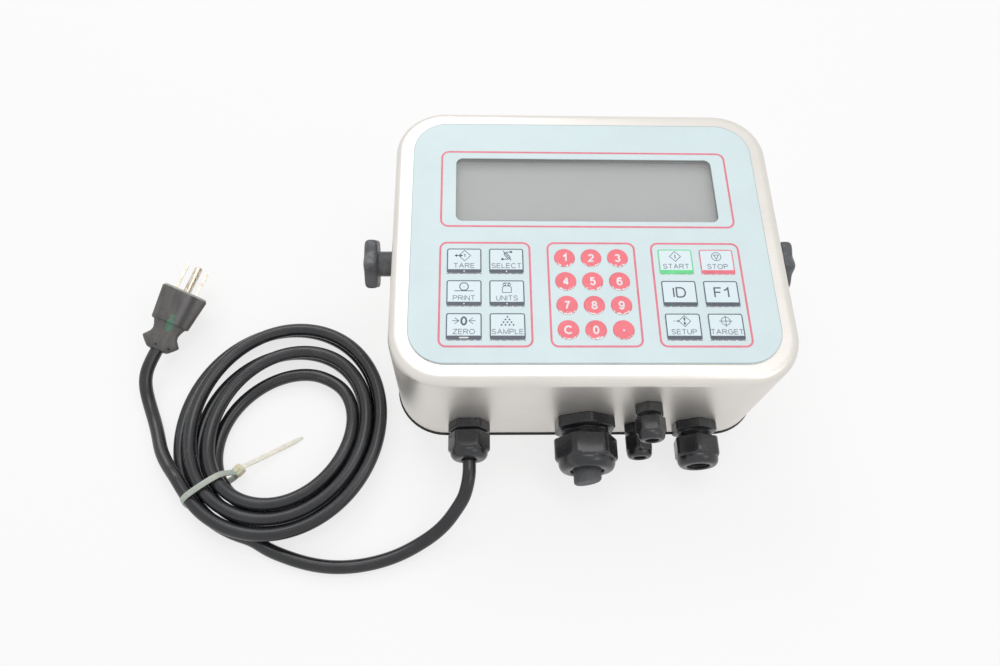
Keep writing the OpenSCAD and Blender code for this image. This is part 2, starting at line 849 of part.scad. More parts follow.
module lcd_bezel() {
    color("dimgray")
    difference() {
        translate([0, window_y, z_display_board]) plate(
            window_w + 2 * bezel_w,
            window_d + 2 * bezel_w,
            window_r,
            bezel_h
        );
        translate([0, window_y, z_display_board - over]) plate(
            window_w + bezel_step,
            window_d + bezel_step,
            window_r,
            bezel_h + 2 * over
        );
        translate([0, window_y, z_display_board - over]) plate(
            window_w + bezel_step + 2 * lcd_lap,
            window_d + bezel_step + 2 * lcd_lap,
            window_r,
            z_lcd - z_display_board + over
        );
    }
}

module lcd_glass() {
    color("darkseagreen")
    translate([0, window_y, z_lcd - lcd_t]) plate(
        window_w + bezel_step + 2 * lcd_lap - 2 * seat_gap,
        window_d + bezel_step + 2 * lcd_lap - 2 * seat_gap,
        window_r,
        lcd_t
    );
}

// Mounting holes of a board, one standoff inset from each corner
module board_corners(w, d) {
    for (x = [-1, 1], y = [-1, 1]) {
        translate([x * (w / 2 - standoff_inset), y * (d / 2 - standoff_inset)]) children();
    }
}

module display_board() {
    color("seagreen")
    translate([0, window_y, z_display_board - board_t]) linear_extrude(board_t) difference() {
        square([display_board_w, display_board_d], center = true);
        board_corners(display_board_w, display_board_d) circle(d = standoff_d / 2);
    }
}

module main_board() {
    color("seagreen")
    translate([0, board_y, z_board_rear]) linear_extrude(board_t) difference() {
        square([main_board_w, main_board_d], center = true);
        board_corners(main_board_w, main_board_d) circle(d = standoff_d / 2);
    }
}

// Standoffs hang from the inside of the front face, each with its screw through the board
module standoff(l) {
    mirror([0, 0, 1]) {
        cylinder(d = standoff_d, h = l);
        cylinder(d = standoff_d / 2 - screw_gap, h = l + board_t);
        lift(l + board_t) cylinder(d = standoff_d, h = board_t);
    }
}

module board_standoffs() {
    color("silver") {
        translate([0, board_y, z_inner]) board_corners(main_board_w, main_board_d) standoff(standoff_l);
        translate([0, window_y, z_inner]) board_corners(display_board_w, display_board_d)
            standoff(bezel_h);
    }
}

module transformer() {
    core_t = transformer_d * 0.45;
    color("goldenrod")
    translate([transformer_x, transformer_y, z_board_rear]) mirror([0, 0, 1]) {
        translate([0, 0, transformer_h / 2])
            cube([transformer_w, core_t, transformer_h], center = true);
        lift(transformer_h * 0.14) linear_extrude(transformer_h * 0.72)
            rounded_rect(transformer_w * 0.72, transformer_d, transformer_d * 0.18);
        translate([0, 0, transformer_h * 0.07])
            cube([transformer_w * 0.8, transformer_d, transformer_h * 0.14], center = true);
    }
}

// Screw terminals along the board's edge, one block for each group of glands
module terminal_block(ways, pitch) {
    mirror([0, 0, 1]) difference() {
        translate([-ways * pitch / 2, -terminal_h / 2, 0]) cube([ways * pitch, terminal_h, terminal_h]);
        for (i = [0 : ways - 1]) {
            translate([(i - (ways - 1) / 2) * pitch, 0, terminal_h * 0.6])
                cylinder(d = pitch * 0.6, h = terminal_h);
            translate([(i - (ways - 1) / 2) * pitch, -terminal_h / 2, terminal_h * 0.3])
                rotate([-90, 0, 0]) cylinder(d = pitch * 0.5, h = terminal_h * 0.4);
        }
    }
}

module terminal_blocks() {
    pitch = terminal_h * 0.36;
    color("mediumseagreen") {
        translate([power_x, terminal_y, z_board_rear]) terminal_block(3, pitch);
        translate([large_x, terminal_y, z_board_rear]) terminal_block(6, pitch);
        translate([(small_x + medium_x) / 2, terminal_y, z_board_rear]) terminal_block(8, pitch);
    }
}

// Capacitors, relays, processor and connectors, set out on shares of the board
cap_shares = [[0.04, 0.28], [0.12, 0.28], [0.2, 0.28]];
relay_shares = [[0.3, 0.26], [0.4, 0.26]];
chip_shares = [[0.08, -0.02], [0.22, -0.04], [0.36, 0.0]];
module board_components() {
    size = main_board_d * 0.16;
    color("#303236")
    translate([0, board_y, z_board_rear]) mirror([0, 0, 1]) {
        for (s = cap_shares) {
            translate([s[0] * main_board_w, s[1] * main_board_d]) cylinder(d = size, h = size * 1.7);
        }
        for (s = relay_shares) {
            translate([s[0] * main_board_w - size * 0.7, s[1] * main_board_d - size * 0.6, 0])
                cube([size * 1.4, size * 1.2, size * 1.5]);
        }
        for (s = chip_shares) {
            translate([s[0] * main_board_w - size * 0.6, s[1] * main_board_d - size * 0.6, 0])
                cube([size * 1.2, size * 1.2, size * 0.2]);
        }
    }
}

// Clamping knobs, with +Z out of the housing
module knob() {
    edge = knob_head_t * 0.32;
    lobe_r = knob_d * 0.15;
    difference() {
        union() {
            lift(hub_gap) cylinder(d = knob_hub_d, h = knob_hub_l + edge);
            lift(hub_gap + knob_hub_l) intersection() {
                linear_extrude(knob_head_t) {
                    circle(d = knob_d - lobe_r * 1.6);
                    for (i = [0 : knob_lobes - 1]) {
                        rotate(360 * i / knob_lobes) translate([knob_d / 2 - lobe_r, 0]) circle(r = lobe_r);
                    }
                }
                rotate_extrude() turned_profile(knob_d / 2, knob_head_t, edge);
                cylinder(
                    r1 = knob_d / 2 - edge * 0.8,
                    r2 = knob_d / 2 + knob_head_t,
                    h = knob_head_t + edge
                );
            }
        }
        lift(hub_gap - over)
            cylinder(r = stud_d / 2 - stud_press, h = over + knob_hub_l + knob_head_t / 2);
    }
}

module knob_stud() {
    lift(-stud_in) cylinder(d = stud_d, h = stud_in + hub_gap + knob_hub_l + knob_head_t / 2);
}

module knob_left() { color("#242527") on_side_wall(-1) knob(); }
module knob_right() { color("#242527") on_side_wall(1) knob(); }
module knob_stud_left() { color("silver") on_side_wall(-1) knob_stud(); }
module knob_stud_right() { color("silver") on_side_wall(1) knob_stud(); }

// Cable glands, with +Z out of the housing
module trimmed_hex(af, h, turn) {
    rotate(turn) intersection() {
        cylinder(d = af / cos(30), h = h, $fn = 6);
        rotate(30) cylinder(d = af * hex_trim_share / cos(30), h = h, $fn = 6);
    }
}

module gland_body(af, thread, hex, space, nut, turn) {
    neck_l = hex + space + nut - 2 * nut_lip;
    difference() {
        union() {
            trimmed_hex(af, hex, turn);
            lift(-thread_in) cylinder(d = thread, h = thread_in + neck_l);
        }
        lift(-thread_in - over)
            cylinder(d = thread - 2 * gland_wall, h = thread_in + neck_l + 2 * over);
    }
}

module gland_nut(af, thread, hex, space, nut, mouth, turn) {
    dome = nut * dome_share;
    lift(hex + space) difference() {
        union() {
            trimmed_hex(af, nut - dome, turn);
            rotate_extrude() turned_profile(af / 2 - nut_lip / 8, nut, af * dome_round_share);
        }
        lift(-over) cylinder(d = thread + 2 * thread_gap, h = nut - nut_lip + over);
        cylinder(d = mouth, h = nut + over);
    }
}

module gland_seal(thread, hex, space, nut, bore) {
    start = hex * seal_start_share;
    difference() {
        lift(start) cylinder(
            d = thread - 2 * gland_wall - 2 * thread_gap,
            h = hex + space + nut - nut_lip - start
        );
        lift(start - over) cylinder(d = bore, h = hex + space + nut + 2 * over);
    }
}

module gland_locknut(af, thread) {
    lift(-wall - locknut_t) difference() {
        cylinder(d = af / cos(30), h = locknut_t, $fn = 6);
        lift(-over) cylinder(d = thread + 2 * thread_gap, h = locknut_t + 2 * over);
    }
}

module power_gland_body() {
    color("#1d1e20") on_gland_wall(power_x, power_z)
        gland_body(power_af, power_thread, power_hex, power_space, power_nut, power_turn);
}

module large_gland_body() {
    color("#1d1e20") on_gland_wall(large_x, large_z)
        gland_body(large_af, large_thread, large_hex, large_space, large_nut, large_body_turn);
}

module medium_gland_body() {
    color("#1d1e20") on_gland_wall(medium_x, medium_z)
        gland_body(medium_af, medium_thread, medium_hex, medium_space, medium_nut, medium_body_turn);
}

module small_gland_bodies() {
    color("#1d1e20")
    for (z = [small_upper_z, small_lower_z]) {
        on_gland_wall(small_x, z)
            gland_body(small_af, small_thread, small_hex, small_space, small_nut, small_turn);
    }
}

module power_gland_nut() {
    color("#26272a") on_gland_wall(power_x, power_z) gland_nut(
        power_af, power_thread, power_hex, power_space, power_nut, power_mouth, power_turn);
}

module large_gland_nut() {
    color("#26272a") on_gland_wall(large_x, large_z) gland_nut(
        large_af, large_thread, large_hex, large_space, large_nut, large_mouth, large_nut_turn);
}

module medium_gland_nut() {
    color("#26272a") on_gland_wall(medium_x, medium_z) gland_nut(
        medium_af, medium_thread, medium_hex, medium_space, medium_nut, medium_mouth, medium_nut_turn);
}

module small_gland_nuts() {
    color("#26272a")
    for (z = [small_upper_z, small_lower_z]) {
        on_gland_wall(small_x, z) gland_nut(
            small_af, small_thread, small_hex, small_space, small_nut, small_mouth, small_turn);
    }
}

module gland_seals() {
    color("#3a3a3c") {
        on_gland_wall(power_x, power_z)
            gland_seal(power_thread, power_hex, power_space, power_nut, cord_d - seal_grip);
        on_gland_wall(large_x, large_z)
            gland_seal(large_thread, large_hex, large_space, large_nut, blank_d + 2 * thread_gap);
        on_gland_wall(medium_x, medium_z)
            gland_seal(medium_thread, medium_hex, medium_space, medium_nut, medium_bore);
        for (z = [small_upper_z, small_lower_z]) {
            on_gland_wall(small_x, z)
                gland_seal(small_thread, small_hex, small_space, small_nut, small_bore);
        }
    }
}

module gland_locknuts() {
    color("#1d1e20") {
        on_gland_wall(power_x, power_z) gland_locknut(power_af, power_thread);
        on_gland_wall(large_x, large_z) gland_locknut(large_af, large_thread);
        on_gland_wall(medium_x, medium_z) gland_locknut(medium_af, medium_thread);
        for (z = [small_upper_z, small_lower_z]) {
            on_gland_wall(small_x, z) gland_locknut(small_af, small_thread);
        }
    }
}

// Blanking plug with its end cut at a slant
module blanking_plug() {
    reach = large_hex + large_space + large_nut + blank_proud;
    color("#4a4b4d") on_gland_wall(large_x, large_z) difference() {
        lift(large_hex * seal_start_share) cylinder(d = blank_d, h = reach - large_hex * seal_start_share);
        translate([0, 0, reach - blank_d / 2 * tan(blank_slope)]) rotate([0, blank_slope, 0])
            translate([-blank_d, -blank_d, 0]) cube([2 * blank_d, 2 * blank_d, blank_d]);
    }
}

// Mains lead, coil, tie and plug
module cord_lead() { color("#222325") tube(lead_points, cord_d, free_sides); }
module cord_coil() { color("#222325") tube(coil_points, cord_d, coil_sides); }
module cord_tail() { color("#222325") tube(tail_points, cord_d, free_sides); }

module cable_tie() {
    outer = coil_at(tie_after / 360);
    inner = coil_at(floor(coil_turns / 2) + (tie_after + tie_skew) / 360);
    middle = (outer + inner) / 2;
    across = norm(flat(outer - inner)) + cord_d + 2 * tie_clear;
    up = cord_d + coil_rise + 2 * tie_clear;
    bend = cord_d / 2 + tie_clear;
    turn = atan2(outer[1] - inner[1], outer[0] - inner[0]);
    head = 2 * tie_w;
    color("ivory")
    translate([middle[0], middle[1], 0]) rotate(turn) {
        lift(tie_t + up / 2) rotate([90, 0, 0]) linear_extrude(tie_w, center = true) difference() {
            rounded_rect(across + 2 * tie_t, up + 2 * tie_t, bend + tie_t);
            rounded_rect(across, up, bend);
        }
        // Head of the tie, with the loose end lying across the coil
        translate([bend - across / 2, 0, tie_t + up]) rotate(tie_end_turn) {
            translate([-head / 2, -head / 2, 0]) cube([head, head, head * 0.8]);
            lift(tie_t / 2) rotate([0, tie_end_slope, 0])
                translate([-tie_tail, -tie_w / 2, 0]) cube([tie_tail, tie_w, tie_t]);
        }
    }
}

// Slice across the plug, at a share of its width: two upper corners and a round belly
slice_t = 1;
module plug_slice(at, w, top, belly_r, belly_z) {
    corner = plug_w * 0.1;
    translate([at, 0, 0]) rotate([90, 0, 90]) {
        for (side = [-1, 1]) {
            translate([side * (plug_w * w / 2 - corner), plug_w * top - corner, 0])
                cylinder(r = corner, h = slice_t, $fn = 24);
        }
        translate([0, -plug_w * belly_z, 0]) cylinder(r = plug_w * belly_r, h = slice_t, $fn = 32);
    }
}

module at_plug() {
    translate(plug_at) rotate([0, 0, plug_turn]) rotate([0, -plug_pitch, 0]) rotate([plug_roll, 0, 0])
        children();
}

module plug_body() {
    collar = plug_l - plug_grip;
    waist = collar * 0.66;
    wing = collar * 0.3;
    color("#3a3835") at_plug() {
        hull() {
            plug_slice(plug_l - slice_t, 1, 0.39, 0.24, 0.2);
            plug_slice(collar, 0.82, 0.31, 0.24, 0.13);
        }
        hull() {
            plug_slice(collar - slice_t, 0.67, 0.26, 0.2, 0.08);
            plug_slice(waist, 0.56, 0.22, 0.18, 0.05);
        }
        hull() {
            plug_slice(waist - slice_t, 0.56, 0.22, 0.18, 0.05);
            plug_slice(wing, 0.8, 0.2, 0.17, 0.04);
        }
        hull() {
            plug_slice(wing - slice_t, 0.8, 0.2, 0.17, 0.04);
            plug_slice(0, 0.5, 0.17, 0.16, 0.02);
        }
    }
}

module plug_pins() {
    blade_line = plug_w * 0.17;
    color("silver") at_plug() {
        for (side = [-1, 1]) {
            translate([plug_l, side * blade_pitch / 2 - blade_t / 2, blade_line - blade_h / 2])
                difference() {
                    cube([blade_l, blade_t, blade_h]);
                    translate([blade_l - blade_h * 0.6, -over, blade_h / 2]) rotate([-90, 0, 0])
                        cylinder(d = blade_h / 2, h = blade_t + 2 * over);
                }
        }
        translate([plug_l, 0, blade_line - earth_drop]) rotate([0, 90, 0]) rotate_extrude()
            turned_profile(earth_d / 2, earth_l, earth_d * 0.2);
    }
}

front_housing();
rear_cover();
rear_gasket();
cover_screws();
keypad_overlay();
keypad_circuit();
display_window();
lcd_glass();
lcd_bezel();
display_board();
main_board();
board_components();
terminal_blocks();
transformer();
board_standoffs();
knob_left();
knob_right();
knob_stud_left();
knob_stud_right();
power_gland_body();
large_gland_body();
medium_gland_body();
small_gland_bodies();
power_gland_nut();
large_gland_nut();
medium_gland_nut();
small_gland_nuts();
gland_seals();
gland_locknuts();
blanking_plug();
cord_lead();
cord_coil();
cord_tail();
cable_tie();
plug_body();
plug_pins();
key_tare();
key_select();
key_print();
key_units();
key_zero();
key_sample();
key_start();
key_stop();
key_id();
key_f1();
key_setup();
key_target();
key_1();
key_2();
key_3();
key_4();
key_5();
key_6();
key_7();
key_8();
key_9();
key_clear();
key_0();
key_point();
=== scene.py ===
"""Weighing indicator lying on its back: the pieces that show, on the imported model's frame."""

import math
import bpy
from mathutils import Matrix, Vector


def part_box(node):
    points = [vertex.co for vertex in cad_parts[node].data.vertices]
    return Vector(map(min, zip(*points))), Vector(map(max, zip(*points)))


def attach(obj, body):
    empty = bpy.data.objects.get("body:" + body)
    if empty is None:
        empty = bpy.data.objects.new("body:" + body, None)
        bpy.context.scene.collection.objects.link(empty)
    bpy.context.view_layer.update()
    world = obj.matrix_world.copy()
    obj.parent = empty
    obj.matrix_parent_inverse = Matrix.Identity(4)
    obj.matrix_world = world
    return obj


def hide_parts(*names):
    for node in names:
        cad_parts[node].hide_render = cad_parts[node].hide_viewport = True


bl_info = {
    "name": "Weighing Indicator",
    "version": (1, 0, 0),
    "blender": (4, 5, 0),
    "location": "View3D > Sidebar > Indicator",
    "description": "Builds the visible pieces of a weighing indicator on its packed frame",
    "category": "Object",
}

import bpy
import numpy as np
from bpy.props import FloatProperty, FloatVectorProperty, IntProperty, PointerProperty
from mathutils import Euler, Vector

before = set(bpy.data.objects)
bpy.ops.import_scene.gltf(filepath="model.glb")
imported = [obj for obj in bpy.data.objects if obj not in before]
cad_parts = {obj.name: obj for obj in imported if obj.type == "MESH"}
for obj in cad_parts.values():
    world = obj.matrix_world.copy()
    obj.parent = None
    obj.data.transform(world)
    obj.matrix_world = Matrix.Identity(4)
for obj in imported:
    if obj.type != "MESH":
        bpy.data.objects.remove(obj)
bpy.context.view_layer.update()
# Sizes are written in millimetres and times MM on their way into the scene
MM = 0.001
HOME = "indicator"
# Width of a key's flange under the film, and the gap between its cap and the film
KEY_FLANGE = 0.7
KEY_GAP = 0.15
# Radius of the body's upright corners, and how far the cover screws lie in from its sides
CORNER = 29
SCREW_INSET = 9.5
# Height of the knobs' axis above the table
KNOB_Z = 57.7
LEAD_DIAMETER = 7.7
# Smooth shading breaks where faces meet at more than this angle
CREASE = 35


def span(node):
    """Lowest and highest corner of a CAD node in millimetres."""
    low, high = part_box(node)
    return np.array(low) / MM, np.array(high) / MM


HOUSING_LOW, HOUSING_HIGH = span("front_housing")
GASKET_LOW, GASKET_HIGH = span("rear_gasket")
COVER_LOW, COVER_HIGH = span("rear_cover")
LABEL_LOW, LABEL_HIGH = span("keypad_overlay")
BODY_W = HOUSING_HIGH[0] - HOUSING_LOW[0]
BODY_D = HOUSING_HIGH[1] - HOUSING_LOW[1]
LABEL_TOP = LABEL_HIGH[2]


def tint(red, green, blue):
    """Linear colour of an 8-bit screen colour."""
    value = np.array([red, green, blue]) / 255
    linear = np.where(value <= 0.04045, value / 12.92, ((value + 0.055) / 1.055) ** 2.4)
    return tuple(float(v) for v in linear)


def scaled(base, *shares):
    """A colour times one share, or times three, and never brighter than white."""
    return tuple(float(v) for v in np.minimum(1, np.array(base) * shares))


# Settings


def number(name, about, default, **limits):
    return FloatProperty(name=name, description=about, default=default, **limits)


def length(name, about, millimetres):
    return number(name, about, millimetres * MM, unit="LENGTH", min=0, precision=5)


def colour(name, about, default):
    return FloatVectorProperty(
        name=name, description=about, default=default, subtype="COLOR", size=3, min=0, max=1
    )


class HousingSettings(bpy.types.PropertyGroup):
    wall: length("Wall", "Steel thickness of the shell", 1.5)
    corner: length("Corner", "Radius of the upright corners", CORNER)
    bend: length("Bend", "Radius of the bend round the front face", 5.5)
    foot: length("Foot bend", "Radius of the bend into the return flange", 2)
    steel: colour("Steel", "Colour of the satin stainless steel", tint(226, 222, 216))


class LabelSettings(bpy.types.PropertyGroup):
    print_height: length("Print height", "How far the print stands above the film", 0.04)
    film: colour("Film", "Pale blue of the printed film", tint(218, 235, 238))
    key: colour("Key face", "Paler blue of the key faces", tint(228, 243, 249))
    ink: colour("Dark ink", "Grey of the outlines, bars and words", tint(88, 95, 108))
    red: colour("Red ink", "Red of the frames", tint(243, 134, 152))
    disc: colour("Disc", "Coral of the number keys", tint(253, 126, 138))
    start: colour("Start", "Green of the start key", tint(112, 232, 150))
    stop: colour("Stop", "Red of the stop key", tint(246, 122, 138))


class LeadSettings(bpy.types.PropertyGroup):
    diameter: length("Diameter", "Diameter of the lead", LEAD_DIAMETER)
    sides: IntProperty(name="Sides", description="Facets round the lead", default=20, min=8)
    jacket: colour("Jacket", "Colour of the lead's jacket", tint(31, 32, 35))


class StageSettings(bpy.types.PropertyGroup):
    lens: number("Lens", "Focal length of the camera", 28.0, unit="CAMERA")
    room: number("Room light", "Strength of the even light", 0.56, min=0)
    lamps: number("Lamps", "Share of the lamps' full power", 1.0, min=0)
    floor: colour("Floor", "Colour of the floor", tint(250, 250, 250))
    glow: number("Floor white", "Share of plain white seen in the floor", 0.74, min=0, max=1)


# Materials


class Signal:
    """A socket in a tree of nodes. Sums and products of signals and numbers add Math nodes."""

    def __init__(self, nodes, socket):
        self.nodes = nodes
        self.socket = socket

    def math(self, operation, *values):
        return self.nodes.node("ShaderNodeMath", {"operation": operation}, dict(enumerate(values)))

    def __add__(self, other):
        return self.math("ADD", self, other)

    def __radd__(self, other):
        return self.math("ADD", other, self)

    def __sub__(self, other):
        return self.math("SUBTRACT", self, other)

    def __rsub__(self, other):
        return self.math("SUBTRACT", other, self)

    def __mul__(self, other):
        return self.math("MULTIPLY", self, other)

    def __rmul__(self, other):
        return self.math("MULTIPLY", other, self)

    def __truediv__(self, other):
        return self.math("DIVIDE", self, other)

    def __pow__(self, other):
        return self.math("POWER", self, other)

    def __abs__(self):
        return self.math("ABSOLUTE", self)

    def most(self, other):
        return self.math("MAXIMUM", self, other)

    def sine(self):
        return self.math("SINE", self)

    def step(self, low, high):
        """0 below low and 1 above high, or the other way round, with a smooth change between."""
        return self.nodes.node(
            "ShaderNodeMapRange",
            {"interpolation_type": "SMOOTHSTEP"},
            {"Value": self, "From Min": low, "From Max": high},
        )


class Nodes:
    """A tree of shader nodes, and the one way in which nodes are added to it."""

    def __init__(self, tree):
        tree.nodes.clear()
        self.tree = tree

    def feed(self, socket, value):
        if isinstance(value, Signal):
            self.tree.links.new(value.socket, socket)
        elif socket.type == "RGBA" and len(value) == 3:
            socket.default_value = (*value, 1)
        else:
            socket.default_value = value

    def node(self, kind, settings=None, values=None, output=0):
        """Adds a node: its type, its settings first, then the values or links of its sockets."""
        node = self.tree.nodes.new(kind)
        for key, value in (settings or {}).items():
            setattr(node, key, value)
        for key, value in (values or {}).items():
            self.feed(node.inputs[key], value)
        return Signal(self, node.outputs[output])

    def seen(self):
        """1 for what the camera, gloss and glass see, and 0 for what lights the scene."""
        camera = self.node("ShaderNodeLightPath", output="Is Camera Ray")
        outputs = camera.socket.node.outputs
        gloss, glass = [Signal(self, outputs[n]) for n in ("Is Glossy Ray", "Is Transmission Ray")]
        return camera.most(gloss).most(glass)


class Finish(Nodes):
    """A material on one Principled shader."""

    def __init__(self, name, **sockets):
        self.material = bpy.data.materials.new(name)
        self.material.use_nodes = True
        super().__init__(self.material.node_tree)
        self.output = self.tree.nodes.new("ShaderNodeOutputMaterial")
        self.shader = self.tree.nodes.new("ShaderNodeBsdfPrincipled")
        self.tree.links.new(self.shader.outputs[0], self.output.inputs[0])
        self.shape = self.node("ShaderNodeTexCoord", output="Object")
        self.set(**sockets)

    def set(self, **sockets):
        """Feeds the shader's sockets; base_color stands for Base Color."""
        for key, value in sockets.items():
            name = key.replace("_", " ").title().replace("Ior", "IOR")
            self.feed(self.shader.inputs[name], value)
        return self

    def mix(self, share, first, second):
        return self.node(
            "ShaderNodeMix", {"data_type": "RGBA"}, {0: share, 6: first, 7: second}, output=2
        )

    def surface(self):
        """The piece's own map, in metres along and across it."""
        return self.node("ShaderNodeTexCoord", output="UV")

    def placed(self, scale, source=None):
        """The coordinates stretched along each axis."""
        values = {"Vector": source or self.shape, "Scale": scale}
        return self.node("ShaderNodeMapping", None, values)

    def parts(self, source=None):
        """The three coordinates, each by itself."""
        split = self.node("ShaderNodeSeparateXYZ", None, {0: source or self.shape})
        return [Signal(self, socket) for socket in split.socket.node.outputs]

    def noise(self, scale, detail, rough, source=None, distortion=0):
        values = {
            "Vector": source or self.shape,
            "Scale": scale,
            "Detail": detail,
            "Roughness": rough,
            "Distortion": distortion,
        }
        return self.node("ShaderNodeTexNoise", None, values)

    def glow(self, share):
        """Mixes plain white into what the camera, gloss and glass see of this finish."""
        own = Signal(self, self.shader.outputs[0])
        white = self.node("ShaderNodeEmission")
        mixed = self.node("ShaderNodeMixShader", None, {0: self.seen() * share, 1: own, 2: white})
        self.feed(self.output.inputs[0], mixed)

    def bump(self, height, distance, strength):
        """Raises the surface by the height signal times the distance in metres."""
        values = {"Height": height, "Distance": distance, "Strength": strength}
        return self.set(normal=self.node("ShaderNodeBump", None, values))


def steel_finish(name, base, grain=0.5):
    """Satin steel: fine level grain on the walls and the front, clouds and faint smudges."""
    f = Finish(name)
    upwards = f.parts(f.node("ShaderNodeTexCoord", output="Normal"))[2]
    flat = abs(upwards).step(0.75, 0.95)
    walls = f.noise(1, 4, 0.7, f.placed((16, 16, 3400)))
    front = f.noise(1, 4, 0.7, f.placed((16, 3400, 16)))
    fine = front * flat + walls * (1 - flat)
    cloud = f.noise(22, 4, 0.6)
    smear = f.noise(8, 3, 0.5, distortion=0.6).step(0.5, 0.72)
    shade = (fine - 0.5) * 0.5 + (cloud - 0.5) * 0.35 + 0.5
    f.set(
        base_color=f.mix(shade.step(0.3, 0.7), scaled(base, 0.93), scaled(base, 1.03)),
        metallic=0.8 + (cloud - 0.5) * 0.1,
        roughness=0.37 + (cloud - 0.5) * 0.1 + (fine - 0.5) * 0.1 + smear * 0.04,
    )
    return f.bump(fine, 0.000012 * grain, 0.4)


def film_finish(name, base, gloss=0.42):
    """Printed film: a faint orange-peel texture, slight yellowing and grime clouds."""
    f = Finish(name)
    cloud = f.noise(34, 5, 0.6)
    spot = f.noise(420, 2, 0.5).step(0.7, 0.78)
    worn = scaled(base, 0.93, 0.92, 0.88)
    tone = f.mix(cloud.step(0.35, 0.68), scaled(base, 1.04), base)
    f.set(base_color=f.mix(spot * 0.5, tone, worn), roughness=gloss + (cloud - 0.5) * 0.16)
    return f.bump(f.noise(1500, 2, 0.5), 0.00001, 0.5)


def ink_finish(name, base):
    """Screen-printed ink with a slightly uneven cover."""
    f = Finish(name)
    cover = f.noise(260, 4, 0.6)
    tone = f.mix(cover.step(0.35, 0.7), base, scaled(base, 0.86))
    f.set(base_color=tone, roughness=0.44 + (cover - 0.5) * 0.1)
    return f.bump(cover, 0.000008, 0.5)


def moulded_finish(name, base, gloss, dust=0.1, grain=700):
    """Moulded plastic or rubber: fine grain, handling marks that lighten and dull it, and dust."""
    f = Finish(name)
    fine = f.noise(grain, 3, 0.6)
    marks = f.noise(60, 5, 0.65, distortion=0.4)
    grime = marks.step(0.5, 0.75)
    pale = tuple(c + (0.32 - c) * dust for c in base)
    clean = f.mix(fine.step(0.3, 0.7), scaled(base, 0.8), base)
    f.set(
        base_color=f.mix(grime, clean, pale),
        roughness=gloss + (marks - 0.5) * 0.16 + grime * 0.12,
    )
    return f.bump(fine, 0.00003, 0.35)


def jacket_finish(name, base):
    """Lead jacket: fine lengthwise drawing marks, a soft gloss, and dusty scuffs in patches."""
    f = Finish(name)
    lines = f.noise(1, 3, 0.6, f.placed((1500, 40, 1), f.surface()))
    scuff = f.noise(1, 5, 0.7, f.placed((420, 90, 1), f.surface()), 0.5)
    dusty = f.noise(26, 2, 0.5).step(0.5, 0.66)
    dust = scuff.step(0.52, 0.74) * (dusty * 0.8 + 0.2)
    bloom = f.noise(45, 3, 0.6).step(0.35, 0.75)
    dull = tuple(c * 1.5 + 0.003 for c in base)
    f.set(base_color=f.mix(dust * 0.55, f.mix(bloom, base, dull), tint(112, 106, 98)))
    f.set(roughness=0.25 + dust * 0.3 + (lines - 0.5) * 0.1)
    return f.bump(lines * 0.5 + scuff * 0.5, 0.00004, 0.4)


def disc_finish(name, base, centre):
    """Coral print of a number key, worn to white in small bites along its lower edge. Its radius,
    the depth of the bites and the edge that they eat into are in millimetres."""
    radius, bites, rim = 5.75, 5.5, (5.3, 5.45)
    f = Finish(name)
    x, y, _ = f.parts()
    dx = x - centre[0]
    dy = y - centre[1]
    reach = (dx * dx + dy * dy) ** 0.5
    edge = f.noise(950, 2, 0.5)
    low = (dy * -1000 / radius).step(0.4, 0.7)
    bite = (reach * 1000 + (edge - 0.46) * bites * low).step(*rim) * low
    cloud = f.noise(120, 4, 0.6)
    tone = f.mix(cloud.step(0.35, 0.7), base, scaled(base, 0.9))
    f.set(
        base_color=f.mix(bite, tone, tint(244, 246, 246)),
        roughness=0.42 + (cloud - 0.5) * 0.12,
    )
    return f.bump(f.noise(1500, 2, 0.5), 0.00001, 0.5)


# Surfaces


